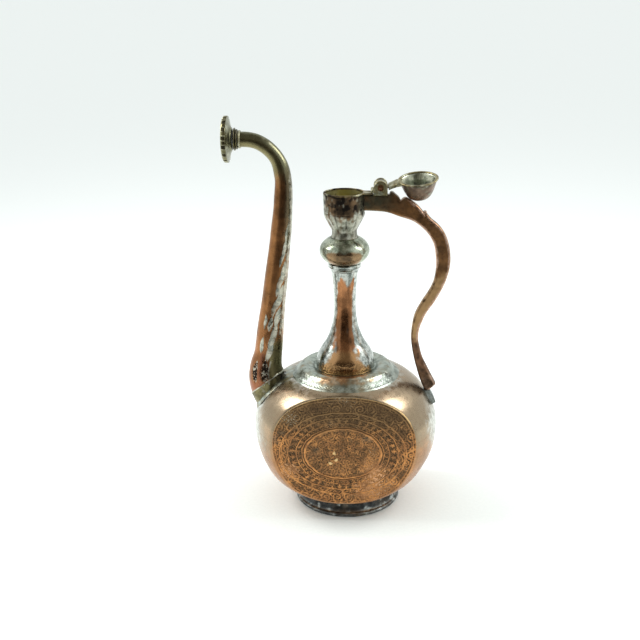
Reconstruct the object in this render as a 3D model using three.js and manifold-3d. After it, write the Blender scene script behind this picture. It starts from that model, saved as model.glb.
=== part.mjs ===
// Copper water jug: a hammered ewer with a flattened round body, a tall fluted neck, a hinged
// cup-shaped lid, a curved spout that ends in a rosette, and a flat S-shaped handle.
// Millimetres, +Z up. The front faces -Y, the spout -X and the handle +X.
import * as THREE from 'three';
import { mergeVertices } from 'three/addons/utils/BufferGeometryUtils.js';
import Module from 'manifold-3d';

const wasm = await Module();
wasm.setup();

// ---- driving dimensions --------------------------------------------------------------------
const AXIS_X = 6.4; // the jug's own axis stands this far +X of the middle of its outer box
const GAP = 0.3; // clearance between pieces that are soldered, or that run on each other
const JOINT = 0.1; // clearance between pieces that meet on a level face
const WALL = 1.6; // sheet of the body
const THIN_WALL = 1.3; // sheet of the neck, the knop, the cup, the lid and the spout

const FOOT_RADIUS = 50;
const FOOT_TOP = 12.2;
const FOOT_OFFSET = 1.1; // the foot is soldered on slightly off centre
const BODY_FLOOR = 12.4; // level of the body's flat bottom, on the foot ring
const SEAM_HEIGHT = 80; // level of the seam round the body
const FLAT_HALF_DEPTH = 53; // the body's flat front and back stand this far from the axis
const MEDALLION_THICKNESS = 1.7;
const MEDALLION_INSET = 1; // the medallion's edge stays this far inside the body's own curve
const SHOULDER_RADIUS = 47.7;
const SHOULDER_BASE = 129;
const NECK_TOP = 235.2;
const KNOP_RADIUS = 22.8;
const KNOP_HALF_HEIGHT = 15;
const KNOP_CENTRE = 247;
const CUP_BASE = 259.4;
const CUP_TOP = 298.8;
const RIM_TOP = 300.4;
const MOUTH_RADIUS = 16.8;
const RIM_RADIUS = 19.5;
const TAB_HALF_WIDTH = 6.5; // the rim's tab, which reaches the hinge

const HINGE_X = 32.4;
const HINGE_Z = 305.2;
const HINGE_TILT = THREE.MathUtils.degToRad(5); // the pin leans: it is higher at the back
const LID_OPENING = THREE.MathUtils.degToRad(175.4); // how far the lid is thrown back
const KNUCKLE_RADIUS = 5.6;
const EAR_RADIUS = 6.3;
const KNUCKLE_HALF_LENGTH = 3.3;
const EAR_INNER = 3.9;
const EAR_OUTER = 8;
const PIN_RADIUS = 1.6;
const BRACKET_BASE = 298.2; // level of the bracket's underside, on the handle's head
const LID_REACH = 33.4; // from the pin to the lid's own middle
const LID_RADIUS = 18;
const LID_DEPTH = 20.6;
const FLANGE_THICKNESS = 1.2;
const BOWL_RADIUS = 17;
const BOWL_WALL = 1.4;
const BOWL_DRAW = 0.42; // how much narrower the bowl is by its blunt end than at its mouth

const SPOUT_AXIS_Z = 347.4; // height of the spout's level end
const ROSETTE_RADIUS = 20.6;
const ROSETTE_PETALS = 16;
const SPOUT_BORE = 4; // hole through the rosette and the outer collar
const SPOUT_TIP = 92.6; // distance of the tube's end from the jug's axis
const SPOUT_STEPS = 24;

const HANDLE_THICKNESS = 8.6;
const LEAF_THICKNESS = 7;

const ROUND = 28; // facets round the large turned pieces
const SMALL_ROUND = 18; // facets round the small ones

// ---- outlines: [radius, height] of turned pieces, from the bottom up ------------------------
const BODY_OUTLINE = [
  [46, 13], [58, 18.5], [71.5, 30], [80, 45], [84.9, 61], [86.4, 77],
  [84.4, 94], [77.2, 109.5], [66.8, 119.8], [56, 125.8], [47, 128.4], [40, 128.8],
];
const NECK_OUTLINE = [
  [27.4, 134.9], [27.2, 139], [26.2, 146], [22.7, 153], [17.6, 161], [13.9, 169.7], [11.4, 179.5],
  [10.2, 190], [10.1, 200], [10.6, 212], [11.6, 223], [12.7, 230], [12.8, NECK_TOP],
];
const CUP_OUTLINE = [
  [12.6, CUP_BASE], [11.8, 262.4], [12, 267], [15, 273], [18.2, 280], [18.9, 286.5], [19.1, CUP_TOP],
];

// Centre line of the spout, [x, z], from inside the body wall to its level end.
const SPOUT_LINE = [
  [-66, 98], [-73.5, 114], [-75.3, 131], [-72.3, 150], [-68.9, 177], [-63.2, 218.5], [-57, 265],
  [-54, 301], [-54.7, 317], [-58.6, 329.5], [-66.3, 339], [-75.5, 344.8], [-84, 347],
  [-SPOUT_TIP, SPOUT_AXIS_Z],
];
// Radius of the spout, [share of its length, radius].
const SPOUT_RADII = [
  [0, 18], [0.08, 17.2], [0.2, 13.2], [0.42, 11], [0.6, 9.6], [0.71, 8.6], [0.8, 7.6],
  [0.86, 6.7], [1, 6.7],
];

// Handle, [x, z]: the outer edge from the hinge down to the barb, then the inner edge back up.
const HANDLE_OUTER = [
  [[40.9, 300.4], [43, 300.4], [45.6, 298.4], [48.6, 295.6], [50.4, 292.4]],
  [[51.5, 294], [54.2, 295.2], [57.3, 294.2], [60.9, 291.8], [65.1, 288.4], [69.1, 284], [72.5, 279]],
  [
    [73.7, 280.6], [77.7, 276], [83.7, 270.8], [89.1, 264.1], [93.3, 254.6], [95.3, 243.7],
    [95.3, 232.7], [92.9, 221.6], [87.9, 209], [81.5, 197.6], [75, 187.7], [71.1, 179.1],
    [68.5, 170.4], [68, 161.7], [69.6, 152.9], [72.5, 142.6], [77.5, 132.2], [85.1, 117],
  ],
];
const HANDLE_INNER = [
  [74.3, 111.6], [70.1, 121.8], [66.5, 133.7], [63.6, 145.5], [61.6, 157.3], [61.2, 166],
  [62.2, 176.3], [64.6, 186.5], [70.3, 198], [77.3, 209.4], [81.6, 220.5], [82.8, 235],
  [80.9, 250.2], [77, 259.5], [70.4, 267.5], [61.2, 274.2], [49.7, 278.3], [36, 282.7],
  [19.5, 283.8],
];
const LEAF_OUTLINE = [
  [79.7, 111.3], [82.9, 105.2], [85.5, 98.4], [82.4, 96.3], [74.7, 105], [72.6, 111.3],
];

// ---- making and joining solids -------------------------------------------------------------
/** Points of a smooth curve through the given [a, b] pairs, `steps` steps along it. */
function smooth(points, steps) {
  const curve = new THREE.SplineCurve(points.map(([a, b]) => new THREE.Vector2(a, b)));
  return curve.getPoints(steps).map((at) => [at.x, at.y]);
}

/** A solid turned round Z. The profile ends on the axis, or it is closed on itself here. */
function turned(profile, segments = ROUND) {
  const points = profile.map(([radius, height]) => new THREE.Vector2(radius, height));
  if (points[0].x > 0) points.push(points[0].clone());
  const geometry = new THREE.LatheGeometry(points, segments);
  return geometry.rotateX(Math.PI / 2);
}

/** A profile moved `distance` towards its inside, along the normal at each point. */
function inset(profile, distance) {
  return profile.map(([radius, height], index) => {
    const before = profile[Math.max(index - 1, 0)];
    const after = profile[Math.min(index + 1, profile.length - 1)];
    const along = new THREE.Vector2(after[0] - before[0], after[1] - before[1]).normalize();
    return [radius - along.y * distance, height + along.x * distance];
  });
}

/** The closed profile of a sheet whose outer face is `outer` and whose two ends are level. */
function sheet(outer, wall) {
  const inner = inset(outer, wall);
  inner[0] = [outer[0][0] - wall, outer[0][1]];
  inner[inner.length - 1] = [outer.at(-1)[0] - wall, outer.at(-1)[1]];
  return [...outer, ...inner.reverse()];
}

/** A box from its lowest to its highest corner. */
function block([x0, y0, z0], [x1, y1, z1]) {
  const geometry = new THREE.BoxGeometry(x1 - x0, y1 - y0, z1 - z0);
  return geometry.translate((x0 + x1) / 2, (y0 + y1) / 2, (z0 + z1) / 2);
}

/** A plate in the XZ plane with the outline [x, z], `thickness` thick about y = 0. */
function plate(outline, thickness) {
  const shape = new THREE.Shape(outline.map(([x, z]) => new THREE.Vector2(x, z)));
  const geometry = new THREE.ExtrudeGeometry(shape, { depth: thickness, bevelEnabled: false });
  return geometry.rotateX(Math.PI / 2).translate(0, thickness / 2, 0);
}

/** The geometry with each shared vertex stored once, and no triangle without area. */
function welded(geometry) {
  const bare = geometry.clone();
  bare.deleteAttribute('normal');
  bare.deleteAttribute('uv');
  const merged = mergeVertices(bare, 1e-4);
  const corners = merged.index.array;
  const kept = [];
  for (let i = 0; i < corners.length; i += 3) {
    const [a, b, c] = corners.slice(i, i + 3);
    if (a !== b && b !== c && c !== a) kept.push(a, b, c);
  }
  merged.setIndex(kept);
  return merged;
}

function solid(geometry) {
  const merged = welded(geometry);
  const vertProperties = new Float32Array(merged.attributes.position.array);
  const triVerts = new Uint32Array(merged.index.array);
  return new wasm.Manifold(new wasm.Mesh({ numProp: 3, vertProperties, triVerts }));
}

function geometryOf(manifold) {
  const mesh = manifold.getMesh();
  const geometry = new THREE.BufferGeometry();
  geometry.setAttribute('position', new THREE.BufferAttribute(mesh.vertProperties, 3));
  geometry.setIndex(new THREE.BufferAttribute(mesh.triVerts, 1));
  return geometry;
}

// ---- finishes ------------------------------------------------------------------------------
const finish = (color, roughness, metalness = 0.9) =>
  new THREE.MeshStandardMaterial({ color, roughness, metalness });
const FINISHES = {
  copper: finish(0xa8663c, 0.4),
  wornTin: finish(0x9c9282, 0.38),
  darkFoot: finish(0x2c2f33, 0.5),
  medallion: finish(0x9a5a36, 0.45),
  paleRim: finish(0xa9a582, 0.4),
  darkInside: finish(0x4a4a42, 0.6),
  pin: finish(0xa4583c, 0.4),
};

/** A named mesh of one sub-part. */
function part(name, geometry, material) {
  const mesh = new THREE.Mesh(welded(geometry), material);
  mesh.name = name;
  return mesh;
}

// ---- foot and body -------------------------------------------------------------------------
function footRing() {
  const profile = [
    [46.6, 0], [FOOT_RADIUS - 0.4, 0], [FOOT_RADIUS + 0.6, 1.6], [FOOT_RADIUS, 3.4], [48, 4.6],
    [46, 8], [45, FOOT_TOP], [42.8, FOOT_TOP], [43.6, 8], [46, 3.4],
  ];
  const ring = part('foot_ring', turned(profile), FINISHES.darkFoot);
  ring.position.x = FOOT_OFFSET;
  return ring;
}

const bodyCurve = smooth(BODY_OUTLINE, 16);

/** The body as one filled form, its skin moved outward by `offset` (inward below zero). */
function bodyForm(offset) {
  const curve = inset(bodyCurve, -offset);
  const top = curve.at(-1)[1];
  const form = solid(turned([[0, BODY_FLOOR - offset], ...curve, [0, top]]));
  const half = FLAT_HALF_DEPTH + offset;
  return form.intersect(solid(block([-200, -half, -50], [200, half, 200])));
}

const bodyShell = bodyForm(0).subtract(bodyForm(-WALL));

function lowerBody() {
  const below = solid(block([-200, -200, -50], [200, 200, SEAM_HEIGHT - JOINT / 2]));
  return part('lower_body', geometryOf(bodyShell.intersect(below)), FINISHES.copper);
}

function upperBody() {
  const above = solid(block([-200, -200, SEAM_HEIGHT + JOINT / 2], [200, 200, 200]));
  const neckHole = solid(turned([[0, 110], [40, 110], [40, 140], [0, 140]]));
  const shell = bodyShell.intersect(above).subtract(neckHole).subtract(spoutForm(-THIN_WALL));
  return part('upper_body', geometryOf(shell), FINISHES.copper);
}

/** The chased plate on the flat front (side -1) or back (side 1). */
function medallion(name, side) {
  const near = FLAT_HALF_DEPTH + GAP;
  const far = FLAT_HALF_DEPTH + GAP + MEDALLION_THICKNESS;
  const [low, high] = side < 0 ? [-far, -near] : [near, far];
  const curve = inset(bodyCurve, MEDALLION_INSET);
  const form = solid(turned([[0, BODY_FLOOR + 3], ...curve, [0, curve.at(-1)[1]]]));
  const slab = solid(block([-200, low, -50], [200, high, 200]));
  return part(name, geometryOf(form.intersect(slab)), FINISHES.medallion);
}

// ---- shoulder, neck, knop and cup ----------------------------------------------------------
function shoulderPlate() {
  const profile = [
    [SHOULDER_RADIUS, SHOULDER_BASE], [SHOULDER_RADIUS, 130.2], [46.2, 131], [44.6, 133.8],
    [42, 136.2], [38.6, 137.4], [35, 137.3], [31, 136.2], [27.6, 134.7], [23.6, 134.7],
    [23.6, 133.1], [28, 133.1], [31.6, 134.6], [35.2, 135.7], [38.4, 135.8], [41, 134.8],
    [43.2, 132.8], [44.6, 130], [44.6, SHOULDER_BASE],
  ];
  return part('shoulder_plate', turned(profile), FINISHES.wornTin);
}

function neckTube() {
  const profile = sheet(smooth(NECK_OUTLINE, 14), THIN_WALL);
  return part('neck_tube', turned(profile, SMALL_ROUND), FINISHES.wornTin);
}

/** A plain turned band with rounded edges between two levels. */
function band(name, inner, outer, bottom, top, material) {
  const edge = Math.min((top - bottom) / 3, (outer - inner) / 2);
  const profile = [
    [inner, bottom], [outer - edge, bottom], [outer, bottom + edge], [outer, top - edge],
    [outer - edge, top], [inner, top],
  ];
  return part(name, turned(profile, SMALL_ROUND), material);
}

/** Half of the knop: a piece of an ellipsoid between two angles above the equator. */
function knopHalf(name, fromAngle, toAngle) {
  const steps = 5;
  const outer = [];
  for (let i = 0; i <= steps; i += 1) {
    const angle = THREE.MathUtils.lerp(fromAngle, toAngle, i / steps);
    outer.push([
      KNOP_RADIUS * Math.cos(angle),
      KNOP_CENTRE + KNOP_HALF_HEIGHT * Math.sin(angle),
    ]);
  }
  return part(name, turned(sheet(outer, THIN_WALL), SMALL_ROUND), FINISHES.wornTin);
}

function mouthCup() {
  const profile = sheet(smooth(CUP_OUTLINE, 10), THIN_WALL);
  return part('mouth_cup', turned(profile, SMALL_ROUND), FINISHES.wornTin);
}

/** The mouth's rim, with the tab that carries the hinge. */
function mouthRim() {
  const bottom = CUP_TOP + JOINT;
  const disc = solid(turned([[0, bottom], [RIM_RADIUS, bottom], [RIM_RADIUS, RIM_TOP], [0, RIM_TOP]]));
  const tabEnd = HINGE_X - EAR_RADIUS - GAP;
  const tab = solid(block([15, -TAB_HALF_WIDTH, bottom], [tabEnd, TAB_HALF_WIDTH, RIM_TOP]));
  const hole = solid(turned([[0, 290], [MOUTH_RADIUS, 290], [MOUTH_RADIUS, 310], [0, 310]]));
  return part('mouth_rim', geometryOf(disc.add(tab).subtract(hole)), FINISHES.paleRim);
}

// ---- hinge and lid -------------------------------------------------------------------------
/** A round bar along Y about the hinge's centre, leaning with the pin. */
function hingeBar(radius, halfLength) {
  const geometry = new THREE.CylinderGeometry(radius, radius, 2 * halfLength, SMALL_ROUND);
  return geometry.rotateX(HINGE_TILT);
}

function hingeBracket() {
  const [bottom, top] = [BRACKET_BASE - HINGE_Z, BRACKET_BASE + 0.9 - HINGE_Z];
  const base = solid(block([-EAR_RADIUS, -EAR_OUTER, bottom], [EAR_RADIUS, EAR_OUTER, top]));
  const roundEar = new THREE.CylinderGeometry(
    EAR_RADIUS, EAR_RADIUS, EAR_OUTER - EAR_INNER, SMALL_ROUND);
  let bracket = base;
  for (const side of [-1, 1]) {
    const middle = (side * (EAR_INNER + EAR_OUTER)) / 2;
    const half = (EAR_OUTER - EAR_INNER) / 2;
    const web = block([-EAR_RADIUS, middle - half, bottom], [EAR_RADIUS, middle + half, 0]);
    bracket = bracket.add(solid(roundEar.clone().translate(0, middle, 0))).add(solid(web));
  }
  bracket = bracket.subtract(solid(hingeBar(PIN_RADIUS + GAP, 20)));
  return part('hinge_bracket', geometryOf(bracket), FINISHES.wornTin);
}

const hingePin = () => part('hinge_pin', hingeBar(PIN_RADIUS, EAR_OUTER + 1.4), FINISHES.pin);

// The lid is drawn shut, about the hinge's centre: its own middle is at x = -LID_REACH.
const LID_PLANE = RIM_TOP + GAP - HINGE_Z;

function lidKnuckle() {
  const barrel = solid(hingeBar(KNUCKLE_RADIUS, KNUCKLE_HALF_LENGTH));
  const bore = solid(hingeBar(PIN_RADIUS + GAP, 20));
  return part('lid_knuckle', geometryOf(barrel.subtract(bore)), FINISHES.wornTin);
}

/** The strap that joins the knuckle to the lid's flange: it rises from the flange to the barrel. */
function lidStrap() {
  const bottom = LID_PLANE + FLANGE_THICKNESS + JOINT;
  const thickness = 2.2;
  const rise = 2.6;
  const end = -EAR_RADIUS - 2 * GAP;
  const outline = [
    [-21, bottom], [-14.6, bottom], [end, bottom + rise], [end, bottom + rise + thickness],
    [-14.6, bottom + thickness], [-21, bottom + thickness],
  ];
  const strap = solid(plate(outline, 11.2));
  const tongue = solid(
    block([end - 1, -2.7, bottom + rise], [-3, 2.7, bottom + rise + thickness]));
  const barrel = solid(hingeBar(KNUCKLE_RADIUS + GAP, 20));
  const clear = BOWL_RADIUS + GAP;
  const bowl = turned([[0, -20], [clear, -20], [clear, 20], [0, 20]]).translate(-LID_REACH, 0, 0);
  const cut = strap.add(tongue).subtract(barrel).subtract(solid(bowl));
  return part('lid_strap', geometryOf(cut), FINISHES.wornTin);
}

function lidFlange() {
  const top = LID_PLANE + FLANGE_THICKNESS;
  const inner = BOWL_RADIUS - BOWL_WALL;
  const profile = [[inner, LID_PLANE], [LID_RADIUS, LID_PLANE], [LID_RADIUS, top], [inner, top]];
  const ring = turned(profile).translate(-LID_REACH, 0, 0);
  return part('lid_flange', ring, FINISHES.paleRim);
}

function lidBowl() {
  const bottom = LID_PLANE + FLANGE_THICKNESS + JOINT;
  const height = LID_DEPTH - FLANGE_THICKNESS - JOINT;
  const outer = [];
  const inner = [];
  const steps = 7;
  for (let i = 0; i <= steps; i += 1) {
    const depth = Math.sin((i / steps) * (Math.PI / 2));
    const width = (1 - BOWL_DRAW * depth) * Math.sqrt(1 - depth ** 6);
    outer.push([BOWL_RADIUS * width, bottom + height * depth]);
    inner.push([(BOWL_RADIUS - BOWL_WALL) * width, bottom + (height - BOWL_WALL) * depth]);
  }
  outer[steps][0] = 0;
  inner[steps][0] = 0;
  const profile = [...inner.reverse(), ...outer];
  const bowl = turned(profile, SMALL_ROUND).translate(-LID_REACH, 0, 0);
  return part('lid_bowl', bowl, FINISHES.darkInside);
}

// ---- spout ---------------------------------------------------------------------------------
const spoutCurve = new THREE.CatmullRomCurve3(
  SPOUT_LINE.map(([x, z]) => new THREE.Vector3(x, 0, z)), false, 'centripetal');

function spoutRadius(share) {
  const index = SPOUT_RADII.findIndex(([at]) => at >= share);
  if (index < 1) return SPOUT_RADII[0][1];
  const [start, from] = SPOUT_RADII[index - 1];
  const [end, to] = SPOUT_RADII[index];
  return THREE.MathUtils.lerp(from, to, THREE.MathUtils.smoothstep(share, start, end));
}

/** A turned geometry whose height runs from 0 to 1, bent along the spout's centre line. */
function alongSpout(geometry) {
  const position = geometry.attributes.position;
  const across = new THREE.Vector3(0, 1, 0);
  for (let i = 0; i < position.count; i += 1) {
    const share = THREE.MathUtils.clamp(position.getZ(i), 0, 1);
    const centre = spoutCurve.getPointAt(share);
    const outward = across.clone().cross(spoutCurve.getTangentAt(share));
    centre.addScaledVector(outward, position.getX(i)).addScaledVector(across, position.getY(i));
    position.setXYZ(i, centre.x, centre.y, centre.z);
  }
  return geometry;
}

/** The spout's radii as a profile, moved outward by `offset`, between two shares of its length. */
function spoutProfile(offset, from, to) {
  const steps = Math.ceil((to - from) * SPOUT_STEPS);
  const profile = [];
  for (let i = 0; i <= steps; i += 1) {
    const share = THREE.MathUtils.lerp(from, to, i / steps);
    profile.push([spoutRadius(share) + offset, share]);
  }
  return profile;
}

/** The spout as one filled form, its skin moved outward by `offset`, up to a share of its length. */
function spoutForm(offset, to = 1) {
  const profile = spoutProfile(offset, 0, to);
  const closed = [[0, 0], ...profile, [0, profile.at(-1)[1]]];
  return solid(alongSpout(turned(closed, SMALL_ROUND)));
}

/** One length of the spout's tube; the lengths are soldered end to end. */
function spoutTube(name, from, to) {
  const seam = JOINT / 2 / spoutCurve.getLength();
  const [start, end] = [from + (from > 0 ? seam : 0), to - (to < 1 ? seam : 0)];
  const outer = spoutProfile(0, start, end);
  const profile = [...outer, ...spoutProfile(-THIN_WALL, start, end).reverse()];
  const tube = solid(alongSpout(turned(profile, SMALL_ROUND)));
  return part(name, geometryOf(tube.subtract(bodyForm(GAP))), FINISHES.copper);
}

/** The flange round the spout's root, dressed down on the body. */
function spoutSaddle() {
  const rootShare = 0.2;
  const width = 4;
  const skin = bodyForm(GAP + WALL).subtract(bodyForm(GAP));
  const ring = skin.intersect(spoutForm(width, rootShare)).subtract(spoutForm(GAP, rootShare));
  return part('spout_saddle', geometryOf(ring), FINISHES.wornTin);
}

/** Puts a piece that is turned round Z on the spout's level end, pointing out of it. */
function onSpoutEnd(mesh) {
  mesh.rotation.y = -Math.PI / 2;
  mesh.position.z = SPOUT_AXIS_Z;
  return mesh;
}

function rosette() {
  const start = SPOUT_TIP + 4.4;
  const profile = [
    [SPOUT_BORE, start], [9, start], [12, start + 1.8], [16.6, start + 3.2],
    [ROSETTE_RADIUS, start + 4.2], [ROSETTE_RADIUS, start + 7.8], [18.6, start + 9.2],
    [12, start + 10.2], [7.4, start + 10.6], [6.4, start + 11.4], [SPOUT_BORE, start + 11.4],
  ];
  const geometry = turned(profile, ROSETTE_PETALS * 3);
  const position = geometry.attributes.position;
  for (let i = 0; i < position.count; i += 1) {
    const [x, y] = [position.getX(i), position.getY(i)];
    const reach = THREE.MathUtils.smoothstep(Math.hypot(x, y), 10, ROSETTE_RADIUS);
    const wave = (Math.cos(ROSETTE_PETALS * Math.atan2(y, x)) - 1) / 2;
    const scale = 1 + 0.07 * reach * wave;
    position.setXY(i, x * scale, y * scale);
  }
  return onSpoutEnd(part('spout_rosette', geometry, FINISHES.copper));
}

function spoutCollars() {
  const inner = band(
    'spout_collar_inner', 6.7 + GAP, 8, SPOUT_TIP - 2, SPOUT_TIP, FINISHES.wornTin);
  const outer = band(
    'spout_collar_outer', SPOUT_BORE, 9.8, SPOUT_TIP + 2 * GAP, SPOUT_TIP + 4.1, FINISHES.copper);
  return [onSpoutEnd(inner), onSpoutEnd(outer)];
}

// ---- handle --------------------------------------------------------------------------------
function handleBar() {
  const seat = BRACKET_BASE - JOINT;
  const head = [[19.5, seat], [40.6, seat]];
  const outer = HANDLE_OUTER.flatMap((run) => smooth(run, 2 * (run.length - 1)));
  const end = [[79.7, 111.6]];
  const inner = smooth(HANDLE_INNER, 2 * (HANDLE_INNER.length - 1));
  const bar = solid(plate([...head, ...outer, ...end, ...inner], HANDLE_THICKNESS));
  return part('handle_bar', geometryOf(bar.subtract(bodyForm(GAP))), FINISHES.copper);
}

function handleLeaf() {
  const leaf = solid(plate(LEAF_OUTLINE, LEAF_THICKNESS));
  return part('handle_leaf', geometryOf(leaf.subtract(bodyForm(GAP))), FINISHES.copper);
}

// ---- assembly ------------------------------------------------------------------------------
const lid = new THREE.Group();
lid.add(lidKnuckle(), lidStrap(), lidFlange(), lidBowl());
lid.quaternion.setFromAxisAngle(
  new THREE.Vector3(0, Math.cos(HINGE_TILT), Math.sin(HINGE_TILT)), LID_OPENING);

const hinge = new THREE.Group();
hinge.position.set(HINGE_X, 0, HINGE_Z);
hinge.add(hingeBracket(), hingePin(), lid);

const knopBottom = -Math.asin((KNOP_CENTRE - NECK_TOP - JOINT) / KNOP_HALF_HEIGHT);
const knopTop = Math.asin((CUP_BASE - JOINT - KNOP_CENTRE) / KNOP_HALF_HEIGHT);
const knopSeam = JOINT / 2 / KNOP_HALF_HEIGHT;

const jug = new THREE.Group();
jug.position.x = AXIS_X;
jug.add(
  footRing(),
  lowerBody(),
  upperBody(),
  medallion('front_medallion', -1),
  medallion('back_medallion', 1),
  shoulderPlate(),
  neckTube(),
  band('neck_ring', 12.8 + GAP, 15.2, 230.6, 235, FINISHES.wornTin),
  knopHalf('knop_lower', knopBottom, -knopSeam),
  knopHalf('knop_upper', knopSeam, knopTop),
  mouthCup(),
  mouthRim(),
  hinge,
  spoutTube('spout_lower', 0, 0.36),
  spoutTube('spout_upper', 0.36, 0.68),
  spoutTube('spout_bend', 0.68, 1),
  spoutSaddle(),
  ...spoutCollars(),
  rosette(),
  handleBar(),
  handleLeaf(),
);

export default jug;
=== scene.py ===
"""Copper water jug: a worn, tinned copper ewer with a flattened round body, a tall neck, a spout that
ends in a rosette, an S-shaped handle and a cup-shaped lid, thrown back.

Lengths are in millimetres about the jug's own axis until a mesh is made, when they become metres."""
import bpy
import numpy as np
from math import asin, cos, pi, radians, sin
from mathutils import Matrix, Vector


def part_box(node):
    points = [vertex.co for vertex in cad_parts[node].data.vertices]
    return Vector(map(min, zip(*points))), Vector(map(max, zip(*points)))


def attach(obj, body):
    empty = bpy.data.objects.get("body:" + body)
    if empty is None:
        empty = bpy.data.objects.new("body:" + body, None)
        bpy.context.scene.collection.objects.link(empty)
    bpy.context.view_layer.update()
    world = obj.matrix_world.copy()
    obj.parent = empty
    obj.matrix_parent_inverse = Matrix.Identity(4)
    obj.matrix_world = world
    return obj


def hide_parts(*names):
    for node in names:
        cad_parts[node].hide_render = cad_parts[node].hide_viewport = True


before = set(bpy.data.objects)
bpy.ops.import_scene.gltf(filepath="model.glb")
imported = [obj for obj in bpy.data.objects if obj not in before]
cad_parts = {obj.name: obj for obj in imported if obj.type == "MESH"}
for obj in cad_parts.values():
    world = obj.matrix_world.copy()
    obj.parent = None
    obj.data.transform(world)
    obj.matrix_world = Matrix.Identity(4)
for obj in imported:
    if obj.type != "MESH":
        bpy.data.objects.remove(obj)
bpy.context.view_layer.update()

MM = 0.001
TURN = 2 * pi

# ---- dimensions ----------------------------------------------------------------------------
NECK_LOW, NECK_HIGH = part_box("neck_tube")
AXIS_X = (NECK_LOW[0] + NECK_HIGH[0]) / 2 / MM  # where the jug's own axis stands
FOOT_OFFSET = 1.1  # the beaten jug stands a little to one side of its foot
BODY_RADIUS = 86.4
SEAM_HEIGHT = 80
SEAM_GAP = 0.05
FLAT_FACE = 54.7
PANEL_FACE = 55
PANEL_BACK = 53.6
SHEET_WALL = 1.3
SHOULDER_WALL = 1.4
FOOT_WALL = 2.4
KNOP_RADIUS = 22.8
KNOP_HALF_HEIGHT = 15
KNOP_CENTRE = 247
KNOP_LOW = 235.3
KNOP_HIGH = 259.3
RIM_BORE = 16.9
RIM_RADIUS = 18.6
TAB_END = 25.7  # the rim's tab, from the axis to its curled end
TAB_HALF_WIDTH = 6.4
HINGE = Vector((32.4, 0, 305.2))
HINGE_TILT = radians(5)
EAR_RADIUS = 6.2
EAR_INNER = 3.95
EAR_OUTER = 7.95
PIN_RADIUS = 1.55
PIN_HALF_LENGTH = 9.35
KNUCKLE_RADIUS = 5.55
KNUCKLE_HALF_LENGTH = 3.25
LID_REACH = 33.4  # from the pin to the lid's own middle
LID_OPENING = radians(175.4)
LID_PLANE = 300.7 - HINGE[2]  # the flange's underside when shut, from the pin
LID_WALL = 1.3
LID_RADIUS = 16.9
LID_RISE = 19.2
STRAP_RISE = 2.6
SPOUT_AXIS_Z = 347.4
SPOUT_TIP = 92.6
PETALS = 16
HANDLE_THICKNESS = 8.6

FOOT_OUTLINE = [(49.4, 0.25), (50.4, 1.6), (49.6, 3.6), (47.6, 4.6), (45.6, 8), (44.9, 12.2)]
BODY_OUTLINE = [
    (46, 13), (58, 18.5), (71.5, 30), (80, 45), (84.9, 61), (86.4, 77),
    (84.4, 94), (77.2, 109.5), (66.8, 119.8), (56, 125.8), (47, 128.4), (40, 128.8),
]
SHOULDER_OUTLINE = [
    (50.6, 127.5), (49.6, 128.5), (47.8, 129.6), (46, 131.2), (44.2, 133.6), (42, 135.9), (38.6, 137.2),
    (35, 137.2), (31, 136.2), (28.6, 134.9), (26.2, 134.4), (23.7, 134.4),
]
NECK_OUTLINE = [
    (27.4, 134.9), (27.2, 139), (26.2, 146), (22.7, 153), (17.6, 161), (13.9, 169.7), (11.4, 179.5),
    (10.2, 190), (10.1, 200), (10.6, 212), (11.6, 223), (12.7, 230), (12.8, 235.2),
]
NECK_RING_OUTLINE = [
    (12.8, 228.4), (13.2, 229.6), (14.1, 230.8), (15.0, 231.8), (14.8, 232.8), (15.0, 233.9),
    (14.9, 234.8), (14.2, 235.2), (13.1, 235.2),
]
CUP_OUTLINE = [
    (12.6, 259.4), (11.8, 262.4), (12, 267), (15, 273), (18.2, 280), (18.9, 286.5), (19.1, 298.8),
]
# The rim's section: how far out from its bore, as a share, and the height.
RIM_SECTION = [
    (0.9, 298.95), (1, 299.2), (1, 299.8), (0.92, 300.2), (0.5, 300.35), (0.08, 300.3), (0, 300.0),
    (0, 299.1),
]
SPOUT_LINE = [
    (-66, 98), (-73.5, 114), (-75.3, 131), (-72.3, 150), (-68.9, 177), (-63.2, 218.5), (-57, 265),
    (-54, 301), (-54.7, 317), (-58.6, 329.5), (-66.3, 339), (-75.5, 344.8), (-84, 347),
    (-SPOUT_TIP, SPOUT_AXIS_Z),
]
SPOUT_ROOT = (-66, 0, 112)
SPOUT_LENGTH = 276
# The spout's radius at shares of its length.
SPOUT_RADII = [
    (0, 18), (0.08, 17.2), (0.2, 13.2), (0.42, 11), (0.6, 9.6), (0.71, 8.6), (0.8, 7.6),
    (0.86, 6.7), (1, 6.7),
]
# The rosette's profile: radius, and how far out from its seat.
ROSETTE_PROFILE = [
    (4, 0), (9, 0), (12, 1.7), (16.4, 3.1), (20.1, 4.0), (20.6, 4.9), (20.5, 7.4), (19.7, 8.6),
    (18, 9.3), (12, 10.2), (7.4, 10.7), (6.4, 11.2), (4, 11.2),
]
# The outer collar's profile: radius, and how far out from the spout's tip.
COLLAR_PROFILE = [
    (6.8, 0.65), (8.6, 0.75), (8.6, 1.8), (7.6, 2.2), (9.7, 2.7), (9.7, 3.7), (8, 4.05), (4, 4.05),
]
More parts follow.
